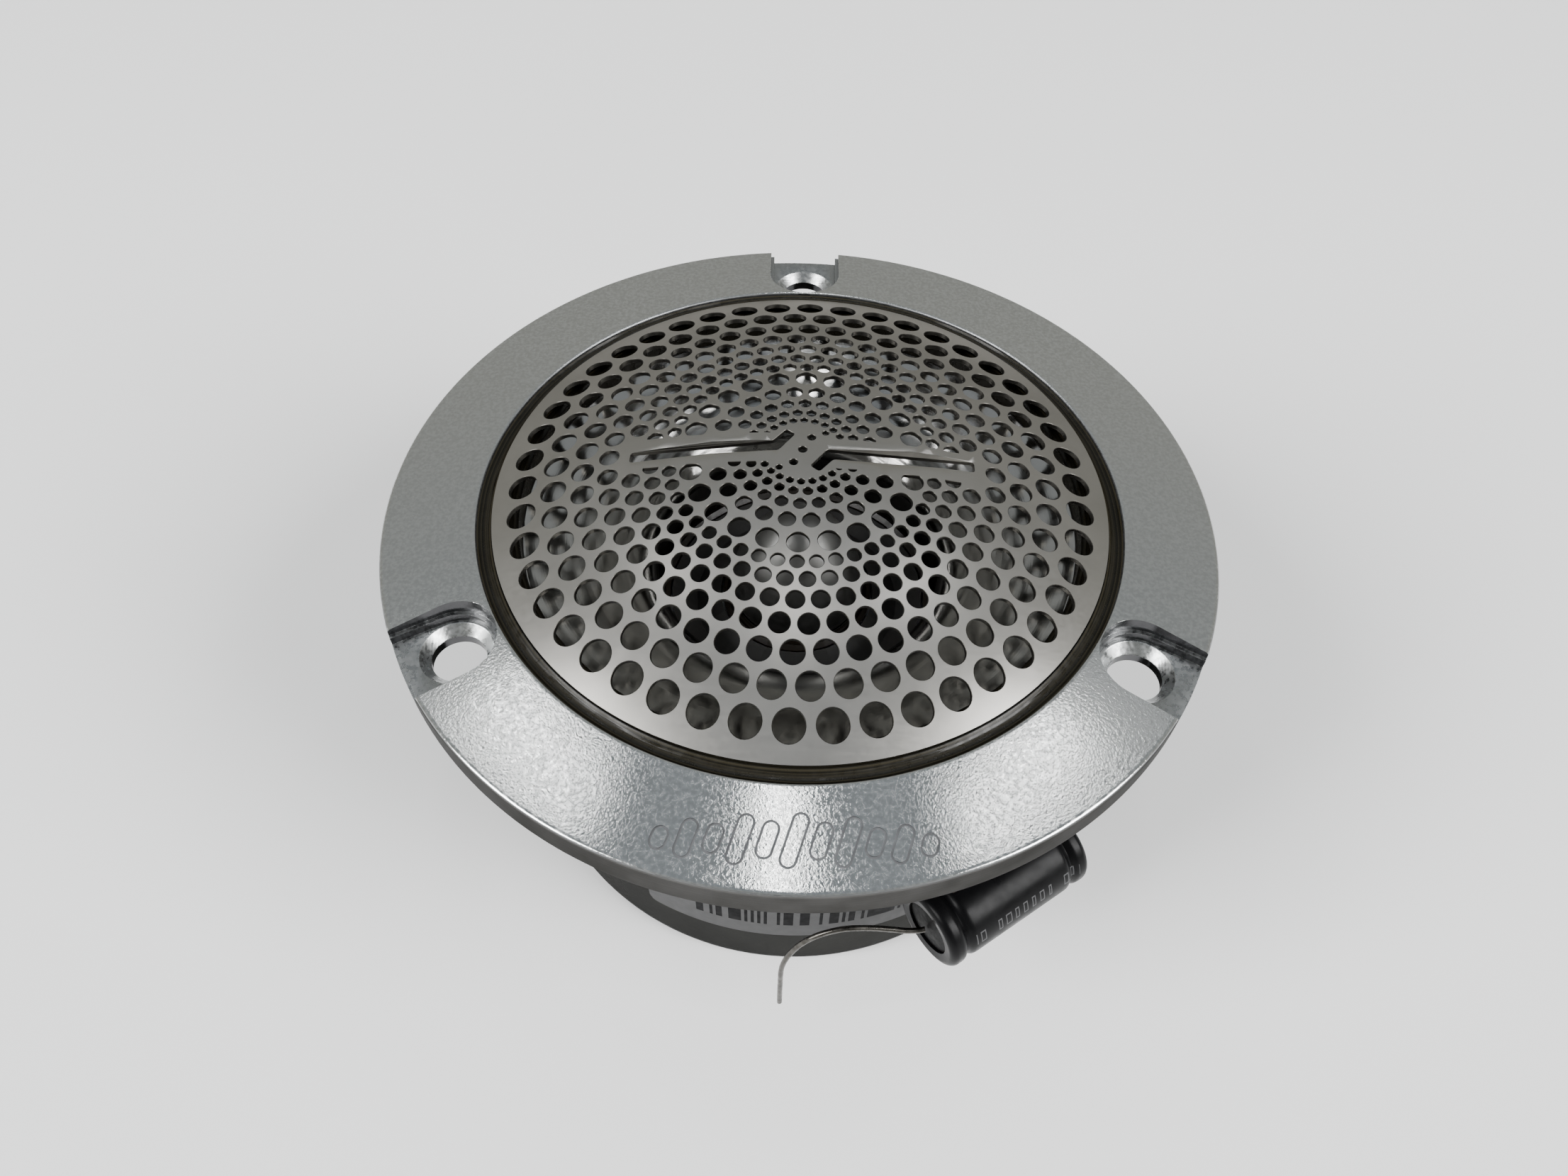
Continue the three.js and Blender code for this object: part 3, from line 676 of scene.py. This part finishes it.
def ring_prism(outer, inner, depth):
    """A closed band between two outlines with as many points, sunk into the flange's face."""
    count = len(outer)
    verts = [(x, y, face_height(x, y) - depth) for x, y in outer + inner]
    verts += [(x, y, FACE_Z + 4 * MM) for x, y in outer + inner]
    faces = []
    for i in range(count):
        j = (i + 1) % count
        faces.append([i, j, count + j, count + i])
        faces.append([2 * count + i, 3 * count + i, 3 * count + j, 2 * count + j])
        faces.append([i, 2 * count + i, 2 * count + j, j])
        faces.append([count + i, count + j, 3 * count + j, 3 * count + i])
    return verts, faces


def ornament_cutters():
    """A plain engraved ornament: leaning outlined bars whose heights rise to the middle."""
    line = 0.125 * MM
    depth = 0.13 * MM
    cutters = []
    heights = (0.35, 1.15, 0.7, 1.75, 1.1, 2.0, 1.1, 1.75, 0.7, 1.15, 0.35)
    pitch = 2.6 * MM
    centre_y = -43.6 * MM
    radius = 0.78 * MM
    lean = -0.3
    for k, half in enumerate(heights):
        cx = (k - (len(heights) - 1) / 2) * pitch
        outer = capsule(cx, centre_y, half * MM, radius + line, lean)
        inner = capsule(cx, centre_y, half * MM, radius - line, lean)
        cutters.append(ring_prism(outer, inner, depth))
    return cutters


# ---- Grille ----

def clipped(outline, low, high):
    """The larger part of an outline that lies above high or below low."""
    parts = []
    for edge, keep_above in ((high, True), (low, False)):
        kept = []
        for i, here in enumerate(outline):
            before = outline[i - 1]
            inside = here[1] > edge if keep_above else here[1] < edge
            was_inside = before[1] > edge if keep_above else before[1] < edge
            if inside != was_inside:
                t = (edge - before[1]) / (here[1] - before[1])
                kept.append((before[0] + (here[0] - before[0]) * t, edge))
            if inside:
                kept.append(tuple(here))
        parts.append(kept)
    return max(parts, key=area)


def area(outline):
    if len(outline) < 3:
        return 0
    return abs(sum(a[0] * b[1] - b[0] * a[1] for a, b in zip(outline, outline[1:] + outline[:1]))) / 2


def tidy_outline(outline, gap):
    """Drops points closer together than gap."""
    kept = []
    for point in outline:
        if not kept or math.dist(point, kept[-1]) > gap:
            kept.append(point)
    if len(kept) > 2 and math.dist(kept[0], kept[-1]) <= gap:
        kept.pop()
    return kept


def circle(x, y, radius, sides):
    turns = [TAU * s / sides for s in range(sides)]
    return [(x + radius * math.cos(turn), y + radius * math.sin(turn)) for turn in turns]


def grille_holes():
    """Outlines of every hole in the sheet, seen from the front."""
    bar_half, bar_reach, bar_shift = 2.3 * MM, 20.1 * MM, 0.4 * MM
    rings = [(32.44 * MM / 1.1345 ** k, 3.43 * MM / 1.137 ** k, 46, k % 2) for k in range(7)]
    rings += [(12.86 * MM / 1.279 ** k, 2.5 * MM / 1.31 ** k, 24, (k + 1) % 2 == 0) for k in range(5)]
    holes = []
    for ring_r, wide, count, staggered in rings:
        for i in range(count):
            angle = math.pi / 2 + PATTERN_TURN + TAU * (i + (0.5 if staggered else 0)) / count
            centre = (ring_r * math.cos(angle), ring_r * math.sin(angle))
            sides = 28 if wide > 2 * MM else 20
            outline = circle(*centre, wide / 2, sides)
            if abs(centre[0]) < bar_reach:
                shift = bar_shift if centre[0] < 0 else -bar_shift
                full = area(outline)
                outline = clipped(outline, shift - bar_half, shift + bar_half)
                outline = tidy_outline(outline, 0.06 * MM)
                if area(outline) < 0.12 * full or len(outline) < 5:
                    continue
            holes.append(outline)
    near, far = (1, 1.96, 0.48), (2.6, 2.75, 0.38)
    holes.append(circle(0, 0, 0.5 * MM, 18))
    for x, y, radius in (near, far):
        holes.append(circle(x * MM, y * MM, radius * MM, 18))
        holes.append(circle(-x * MM, -y * MM, radius * MM, 18))
    slot = slot_outline()
    holes.append(slot)
    holes.append([(-x, -y) for x, y in slot])
    return holes


def slot_outline():
    """The left cranked slot: a long straight run and a short arm that turns up beside the centre."""
    half = 0.74 * MM
    outer, knee, tip = (-19.7 * MM, 0), (-3.1 * MM, 0.6 * MM), (-1.45 * MM, 2.75 * MM)
    soft = 0.35 * MM
    return softened([
        (outer[0], outer[1] - half, soft),
        (knee[0] + 0.35 * MM, knee[1] - half, soft),
        (tip[0] + 0.55 * MM, tip[1] - 0.3 * MM, soft),
        (tip[0] - 0.45 * MM, tip[1] + 0.5 * MM, soft),
        (knee[0] - 0.35 * MM, knee[1] + half, soft),
        (outer[0], outer[1] + half, soft),
    ], 3)


def widened(outline, by):
    """An outline moved outwards by a small distance."""
    signed = sum(a[0] * b[1] - b[0] * a[1] for a, b in zip(outline, outline[1:] + outline[:1]))
    turn = 1 if signed > 0 else -1
    made = []
    for i, here in enumerate(outline):
        before, after = outline[i - 1], outline[(i + 1) % len(outline)]
        along = Vector((after[0] - before[0], after[1] - before[1])).normalized()
        made.append((here[0] + along.y * by * turn, here[1] - along.x * by * turn))
    return made


def on_dome(x, y, depth):
    """The point that far under the sheet's front face, along the face's normal."""
    rise = math.sqrt(DOME_R ** 2 - x * x - y * y)
    z = GRILLE_APEX_Z - DOME_R + rise
    return (x - x / DOME_R * depth, y - y / DOME_R * depth, z - rise / DOME_R * depth)


def in_hole(corners, flat, owners, outlines):
    """Whether a triangle lies in a hole: its corners are all on that hole's outline and it is inside."""
    shared = {owners[corner] for corner in corners}
    owner = shared.pop()
    if shared or owner < 1:
        return False
    middle = [sum(flat[corner][k] for corner in corners) / 3 for k in (0, 1)]
    return encloses(outlines[owner], middle)


def encloses(outline, point):
    inside = False
    for (ax, ay), (bx, by) in zip(outline, outline[1:] + outline[:1]):
        if (ay > point[1]) == (by > point[1]):
            continue
        if point[0] < ax + (point[1] - ay) * (bx - ax) / (by - ay):
            inside = not inside
    return inside


def in_any_hole(outlines, boxes, x, y):
    for outline, (left, right, low, high) in zip(outlines, boxes):
        if left < x < right and low < y < high and encloses(outline, (x, y)):
            return True
    return False


def build_grille():
    """The domed sheet: its flat pattern meshed around the holes and laid on the dome, front and back."""
    lip = 0.05 * MM
    walls = [circle(0, 0, GRILLE_R, 300)] + grille_holes()
    edges = [widened(walls[0], -lip)] + [widened(wall, lip) for wall in walls[1:]]
    starts = [sum(len(edge) for edge in edges[:k]) for k in range(len(edges))]
    flat, tris, place = sheet_triangles(edges, starts)
    count = len(flat)
    verts = [on_dome(x, y, 0) for x, y in flat] + [on_dome(x, y, GRILLE_SHEET) for x, y in flat]
    faces = [list(t) for t in tris] + [[count + i for i in reversed(t)] for t in tris]
    for wall, start in zip(walls, starts):
        many = len(wall)
        base = len(verts)
        verts += [on_dome(x, y, lip) for x, y in wall]
        verts += [on_dome(x, y, GRILLE_SHEET - lip) for x, y in wall]
        for i in range(many):
            j = (i + 1) % many
            a, b = place[start + i], place[start + j]
            faces.append([a, base + i, base + j, b])
            faces.append([base + i, base + many + i, base + many + j, base + j])
            faces.append([base + many + i, count + a, count + b, base + many + j])
    made = piece("grille_perforated", verts, faces, ("grille",), "grille_steel", sharp=35)
    even_shading(made)
    made.data.materials.append(grille_steel())
    # Painted shade: the hole walls, their lips and the back of the sheet get a near-black copy of the
    # steel.
    walls_shade_look = plain_look("grille_walls_painted_shade", (0.07, 0.067, 0.06), 1.0, 0.4, 1500, 0.004)
    made.data.materials.append(walls_shade_look)
    front, inner = 0, 1
    for face in made.data.polygons:
        x, y, _ = face.center
        outwards = Vector(on_dome(x, y, -1)) - Vector(on_dome(x, y, 0))
        in_front = face.normal.dot(outwards.normalized()) > 0.85
        face.material_index = front if in_front else inner


def sheet_triangles(edges, starts):
    """The sheet's flat points, its triangles, and the place of each edge point among the points."""
    points = [Vector(p) for edge in edges for p in edge]
    of_point = [k for k, edge in enumerate(edges) for _ in edge]
    segments = []
    for edge, start in zip(edges, starts):
        segments += [(start + i, start + (i + 1) % len(edge)) for i in range(len(edge))]
    points += points_between(points, edges[1:])
    of_point += [-1] * (len(points) - len(of_point))
    flat, _, tris, origin, _, _ = delaunay_2d_cdt([p / MM for p in points], segments, [], 0, 1e-6)
    flat = [(p.x * MM, p.y * MM) for p in flat]
    owners = [of_point[olds[0]] if olds else -1 for olds in origin]
    tris = [t for t in tris if not in_hole(t, flat, owners, edges)]
    place = {old: new for new, olds in enumerate(origin) for old in olds}
    return flat, tris, place


def points_between(edge_points, holes):
    """Points in rings over the sheet's plain stretches, clear of every edge."""
    step, gap = 0.95 * MM, 0.3 * MM
    taken = np.array([p[:] for p in edge_points])
    boxes = [(min(p[0] for p in o), max(p[0] for p in o), min(p[1] for p in o), max(p[1] for p in o))
             for o in holes]
    points = []
    for ring in range(1, int(GRILLE_R / step)):
        radius = ring * step
        for x, y in circle(0, 0, radius, max(6, int(TAU * radius / step))):
            clear = np.min((taken[:, 0] - x) ** 2 + (taken[:, 1] - y) ** 2) > gap ** 2
            if clear and not in_any_hole(holes, boxes, x, y):
                points.append(Vector((x, y)))
    return points


# ---- Seal, plug, cup ----

def build_seal():
    """A bead that fills the groove, low in the middle, and a wall under the grille's rim."""
    wobble = random.Random(5)
    outline = softened([
        (MOUTH_R + 0.1 * MM, SEAT_Z + 0.02 * MM),
        (BEZEL_R - 0.02 * MM, SEAT_Z + 0.02 * MM),
        (BEZEL_R - 0.02 * MM, BEZEL_Z - 0.45 * MM),
        (BEZEL_R - 0.45 * MM, BEZEL_Z - 0.75 * MM, 0.3 * MM),
        (GRILLE_R + 0.55 * MM, BEZEL_Z - 0.62 * MM, 0.3 * MM),
        (GRILLE_R + 0.05 * MM, GRILLE_RIM_Z - 0.35 * MM),
        (GRILLE_R - 0.05 * MM, GRILLE_RIM_Z - GRILLE_SHEET - 0.1 * MM),
        (MOUTH_R + 0.6 * MM, GRILLE_RIM_Z - GRILLE_SHEET - 0.05 * MM),
        (MOUTH_R + 0.1 * MM, GRILLE_RIM_Z - GRILLE_SHEET - 0.3 * MM, 0.2 * MM),
    ])
    verts, faces = lathe(outline, 288)
    phases = [wobble.uniform(0, TAU) for _ in range(4)]
    made = []
    for x, y, z in verts:
        angle = math.atan2(y, x)
        radius = math.hypot(x, y)
        lift = sum(math.sin(angle * k + p) for k, p in zip((3, 7, 13, 29), phases)) * 0.035 * MM
        on_top = BEZEL_Z - 1.0 * MM < z < BEZEL_Z - 0.5 * MM and radius > GRILLE_R + 0.2 * MM
        made.append((x, y, z + (lift if on_top else 0)))
    seal = piece("grille_sealant", made, faces, ("grille_seal_ring",), "seal")
    seal.data.materials.append(sealant())


def build_plug():
    base, tip = PLUG_LOW.z, PLUG_HIGH.z
    bore = 2.4 * MM
    plug_r = 8.5 * MM
    bore_top = base + 7.7 * MM
    shoulder = (plug_r, base + 1.6 * MM)
    ogive = bezier(shoulder, (8.3 * MM, base + 7 * MM), (4.6 * MM, tip - 0.4 * MM), (0, tip), 30)
    foot = softened([(bore, base), (plug_r, base, 0.5 * MM)])
    outline = foot + ogive + [(0, bore_top), (bore, bore_top)]
    plug = piece("phase_plug_turned", *lathe(outline, 128), ("phase_plug",), "plug_aluminium")
    plug.data.materials.append(plug_aluminium())


def build_cup():
    top = CUP_HIGH.z
    wall, floor = 1.1 * MM, 1.5 * MM
    outline = softened([
        (0, 0),
        (CUP_R, 0, 2.6 * MM),
        (CUP_R, top, 0.2 * MM),
        (CUP_R - wall, top, 0.2 * MM),
        (CUP_R - wall, floor, 1.6 * MM),
        (0, floor),
    ], 8)
    cup = piece("rear_cup_drawn", *lathe(outline, 288), ("rear_cup",), "cup_metal")
    cup.data.materials.append(cup_metal())


# ---- Capacitor ----

def along_capacitor(verts):
    """Moves what was built along +Z from the origin to the capacitor's place."""
    turn = Vector((0, 0, 1)).rotation_difference(AXIS).to_matrix()
    return [turn @ Vector(v) + CAP_NEAR for v in verts]


def sleeve_profile(radius, steps=90):
    """Radius of the sleeve along its length: turned-in ends and a crimp groove near each."""
    line = []
    bead, groove, end = 2.5 * MM, 0.5 * MM, CAP_LENGTH
    for i in range(steps + 1):
        s = end * (0.5 - 0.5 * math.cos(math.pi * i / steps))
        near = min(s, end - s)
        shape = radius
        soft = 0.9 * MM
        if near < soft:
            shape -= soft - math.sqrt(max(0, soft ** 2 - (soft - near) ** 2))
        shape -= groove * math.exp(-((near - bead) / (0.5 * MM)) ** 2)
        line.append((shape, s))
    return line


def build_capacitor():
    outer = sleeve_profile(CAP_R)
    lip = 3.3 * MM
    bore = CAP_R - 0.8 * MM
    inner = [(lip, 0.12 * MM), (lip, 0.4 * MM), (bore, 0.5 * MM),
             (bore, CAP_LENGTH - 0.5 * MM), (lip, CAP_LENGTH - 0.4 * MM), (lip, CAP_LENGTH - 0.12 * MM)]
    verts, faces = lathe(outer + inner[::-1], 96)
    verts = along_capacitor(verts)
    sleeve = piece("capacitor_sleeve_shrunk", verts, faces, ("capacitor_sleeve",), "sleeve")
    sleeve.data.materials.append(sleeve_plastic())
    rubber = plain_look("seal_rubber", (0.003, 0.003, 0.003), 0.0, 0.5, 1500, 0.02)
    rubber.node_tree.nodes["Principled BSDF"].inputs["Specular IOR Level"].default_value = 0.08
    for name, face, way in (("near", 0.45 * MM, -1), ("far", CAP_LENGTH - 0.45 * MM, 1)):
        seal_r = lip - 0.02 * MM
        back = face - way * 0.5 * MM
        dome = [(0, face + way * 0.25 * MM), (1.0 * MM, face + way * 0.22 * MM),
                (2.2 * MM, face + way * 0.1 * MM), (seal_r, face), (seal_r, back), (0, back)]
        verts, faces = lathe(dome, 64)
        verts = along_capacitor(verts)
        node = f"capacitor_seal_{name}"
        seal = piece(f"{node}_moulded", verts, faces, (node,), "seal")
        seal.data.materials.append(rubber)


# The bends of both leads in millimetres, from the capacitor outwards.
FREE_LEAD = [
    (15.7, -41.66, 24.2), (15.0, -41.75, 24.1), (13.6, -41.9, 24.2), (11.8, -41.9, 24.5),
    (9.0, -42.0, 25.0), (6.1, -42.3, 25.2), (3.4, -42.7, 24.2), (1.4, -43.1, 22.2),
    (0.0, -43.5, 19.3), (-0.7, -43.9, 16.2), (-0.8, -44.3, 11.6), (-0.8, -44.7, 6.3),
]
TIED_LEAD = [
    (32.8, -29.8, 24.2), (33.2, -29.55, 24.2), (33.9, -28.9, 24.2), (34.2, -27.6, 24.0),
    (34.3, -24, 23.4), (35.4, -19, 22.2), (37.0, -13, 20.8), (39.2, -6.5, 19.2),
    (41.3, -0.5, 18.0), (42.8, 4.9, 17.3), (42.9, 8.7, 17.0), (42.5, 11.5, 17.0),
]


def build_leads():
    wire = tinned_wire()
    for name, route in (("free", FREE_LEAD), ("tied", TIED_LEAD)):
        points = [tuple(c * MM for c in p) for p in route]
        verts, faces = tube(points, LEAD_R)
        node = f"capacitor_lead_{name}"
        lead = piece(f"{node}_wire", verts, faces, (node,), "tinned_wire")
        lead.data.materials.append(wire)


# ---- Label ----

def label_look():
    """Satin label, painted grey as the shade under the flange, with plain dark bars that stand for no
    code.
    """
    # Painted shade: the label's grey stands for a pale sticker lying in the flange's shadow.
    look = Look("label_print", (0.075, 0.075, 0.076), 0.0, 0.5, Specular_IOR_Level=0.02)
    parts = look.node("ShaderNodeSeparateXYZ")
    look.link(look.place, parts.inputs[0])
    angle = look.maths("ARCTAN2", parts.outputs["Y"], parts.outputs["X"])
    cells = look.node("ShaderNodeTexWhiteNoise", noise_dimensions="1D")
    cells_per_radian = 92
    look.link(look.maths("FLOOR", look.maths("MULTIPLY", angle, cells_per_radian)), cells.inputs["W"])
    bars = look.maths("GREATER_THAN", cells.outputs["Value"], 0.5)
    low, high = LABEL_LOW.z + 3.4 * MM, LABEL_LOW.z + 12 * MM
    first, last = math.radians(-108), math.radians(-66)
    in_height = look.both(look.maths("GREATER_THAN", parts.outputs["Z"], low),
                          look.maths("LESS_THAN", parts.outputs["Z"], high))
    in_angle = look.both(look.maths("GREATER_THAN", angle, first), look.maths("LESS_THAN", angle, last))
    ink = look.both(bars, look.both(in_height, in_angle))
    # The label's painted-shade grey, with near-black bars printed on it.
    look.tint(ink, (0.075, 0.075, 0.076), (0.003, 0.003, 0.0035), (0.45, 0.55))
    look.rough(look.noise(800, 3), 0.34, 0.5)
    look.bump(look.noise(500, 3), 0.01 * MM, 0.4)
    return look.material


def build_label():
    inner, thick = CUP_R + 0.03 * MM, 0.1 * MM
    angles = (math.radians(-118.5), math.radians(-58))
    corner = 1.2 * MM
    columns = 90
    verts, faces = [], []
    low_of, high_of = [], []
    arcs = np.linspace(angles[0] * CUP_R, angles[1] * CUP_R, columns)
    for arc in arcs:
        near = min(arc - arcs[0], arcs[-1] - arc)
        cut = 0 if near > corner else corner - math.sqrt(max(0, corner ** 2 - (corner - near) ** 2))
        low_of.append(LABEL_LOW.z + cut)
        high_of.append(LABEL_HIGH.z - cut)
    for radius in (inner, inner + thick):
        for arc, low, high in zip(arcs, low_of, high_of):
            angle = arc / CUP_R
            verts.append((radius * math.cos(angle), radius * math.sin(angle), low))
            verts.append((radius * math.cos(angle), radius * math.sin(angle), high))
    back = 2 * columns
    for i in range(columns - 1):
        a = 2 * i
        faces.append([a, a + 2, a + 3, a + 1])
        faces.append([back + a, back + a + 1, back + a + 3, back + a + 2])
        faces.append([a, back + a, back + a + 2, a + 2])
        faces.append([a + 1, a + 3, back + a + 3, back + a + 1])
    last = back - 2
    faces.append([0, 1, back + 1, back])
    faces.append([last, back + last, back + last + 1, last + 1])
    label = piece("label_sticker", verts, faces, ("label",), "label")
    label.data.materials.append(label_look())


# ---- Carried-over CAD nodes ----

def dress_cad_nodes():
    looks = {
        "foam": plain_look("foam_black", (0.03, 0.03, 0.03), 0.0, 0.95, 1200, 0.2),
        "motor_steel": plain_look("zinc_steel", (0.42, 0.43, 0.44), 1.0, 0.36, 900, 0.01),
        "ferrite": plain_look("ferrite_dark", (0.03, 0.03, 0.033), 0.1, 0.6, 1400, 0.04),
        "black_plastic": plain_look("moulded_black", (0.02, 0.02, 0.021), 0.0, 0.5, 1600, 0.03),
        "plug_aluminium": plain_look("spacer_aluminium", (0.5, 0.5, 0.49), 1.0, 0.35, 1000, 0.01),
        "diaphragm_metal": plain_look("diaphragm_foil", (0.02, 0.019, 0.018), 0.3, 0.45, 900, 0.01),
        "film": plain_look("dark_film", (0.012, 0.009, 0.006), 0.0, 0.35, 900, 0.01),
        "copper": plain_look("enamelled_copper", (0.5, 0.2, 0.08), 0.9, 0.3, 3000, 0.02),
        "screw_steel": plain_look("screw_zinc", (0.45, 0.46, 0.48), 1.0, 0.3, 1200, 0.01),
        "tab_brass": plain_look("tinned_brass", (0.6, 0.55, 0.4), 1.0, 0.3, 1200, 0.01),
        "wire_red": plain_look("insulation_red", (0.4, 0.03, 0.02), 0.0, 0.35, 900, 0.01),
        "wire_black": plain_look("insulation_black", (0.02, 0.02, 0.02), 0.0, 0.35, 900, 0.01),
        "can_aluminium": plain_look("can_aluminium", (0.6, 0.6, 0.61), 1.0, 0.35, 900, 0.01),
        "adhesive": plain_look("set_adhesive", (0.05, 0.04, 0.03), 0.0, 0.3, 500, 0.1),
    }
    for row in frame["record"]["subparts"]:
        node = frame["nodes"][row["node"]]
        if row["material_slot"] in looks and not node.hide_render:
            node.material_slots[0].material = looks[row["material_slot"]]


# ---- Scene: camera, floor, lights ----

def build_camera():
    elevation, distance, roll = math.radians(52.51), 2.6034 * FLANGE_R, 0.0279
    target = Vector((-0.0342 * FLANGE_R, -0.2612 * FLANGE_R, FACE_Z))
    back = Vector((0, -math.cos(elevation), math.sin(elevation)))
    right = Vector((1, 0, 0))
    up = Vector((0, math.sin(elevation), math.cos(elevation)))
    rolled_right = right * math.cos(roll) + up * math.sin(roll)
    rolled_up = up * math.cos(roll) - right * math.sin(roll)
    camera = bpy.data.objects.new("camera", bpy.data.cameras.new("camera"))
    bpy.context.scene.collection.objects.link(camera)
    camera.matrix_world = Matrix.Translation(target + back * distance) @ Matrix(
        (rolled_right, rolled_up, back)).transposed().to_4x4()
    camera.data.sensor_width = 36
    camera.data.lens = 26.04
    camera.data.clip_start = 0.005
    bpy.context.scene.camera = camera


def softbox(name, place, aim, size, power, turn=0.0, colour=(1, 1, 1)):
    """A soft rectangular light; turn swings its long side round the line to its aim."""
    light = bpy.data.lights.new(name, "AREA")
    light.shape = "RECTANGLE"
    light.size, light.size_y = size
    light.energy = power
    light.color = colour
    holder = bpy.data.objects.new(name, light)
    bpy.context.scene.collection.objects.link(holder)
    facing = (Vector(aim) - Vector(place)).to_track_quat("-Z", "Y").to_matrix()
    holder.matrix_world = Matrix.Translation(place) @ (facing @ Matrix.Rotation(turn, 3, "Z")).to_4x4()


def build_stage():
    floor = bpy.data.meshes.new("floor")
    half = 3
    corners = [(-half, -half, 0), (half, -half, 0), (half, half, 0), (-half, half, 0)]
    floor.from_pydata(corners, [], [[0, 1, 2, 3]])
    holder = bpy.data.objects.new("floor", floor)
    bpy.context.scene.collection.objects.link(holder)
    look = Look("pale_floor", (0.93, 0.93, 0.93), 0.0, 0.8)
    look.tint(look.noise(6, 3), (0.92, 0.92, 0.92), (0.94, 0.94, 0.94))
    floor.materials.append(look.material)
    build_sky()
    face = (0, -0.03, FACE_Z)
    softbox("front_streak", (-0.006, 0.113, 0.8), face, (0.03, 0.22), 0.24)
    softbox("right_key", (0.278, 0.2, 0.8), face, (0.02, 0.22), 0.19, 0.1)
    softbox("right_fill", (0.36, 0.27, 0.8), face, (0.12, 0.24), 0.03, 0.1)
    softbox("left_key", (-0.3, 0.23, 0.8), face, (0.025, 0.22), 0.19, -0.1)
    softbox("left_fill", (-0.38, 0.29, 0.8), face, (0.12, 0.24), 0.03, -0.1)
    softbox("room_right", (1.5, -0.7, 1.2), face, (0.9, 1.2), 60)
    softbox("room_left", (-1.5, -0.7, 1.2), face, (0.9, 1.2), 60)


def build_sky():
    """An even pale sky, a little cooler overhead than at the horizon."""
    world = bpy.data.worlds.new("studio")
    world.use_nodes = True
    tree = world.node_tree
    place = tree.nodes.new("ShaderNodeTexCoord")
    parts = tree.nodes.new("ShaderNodeSeparateXYZ")
    ramp = tree.nodes.new("ShaderNodeValToRGB")
    ramp.color_ramp.elements[0].position = 0.5
    ramp.color_ramp.elements[0].color = (0.95, 0.96, 0.9, 1)
    ramp.color_ramp.elements[1].position = 0.97
    ramp.color_ramp.elements[1].color = (0.84, 0.91, 0.97, 1)
    tree.links.new(place.outputs["Generated"], parts.inputs[0])
    tree.links.new(parts.outputs["Z"], ramp.inputs[0])
    tree.links.new(ramp.outputs[0], tree.nodes["Background"].inputs["Color"])
    tree.nodes["Background"].inputs["Strength"].default_value = 0.37
    bpy.context.scene.world = world


build_camera()
build_flange()
build_grille()
build_seal()
build_plug()
build_cup()
build_capacitor()
build_leads()
build_label()
dress_cad_nodes()
build_stage()
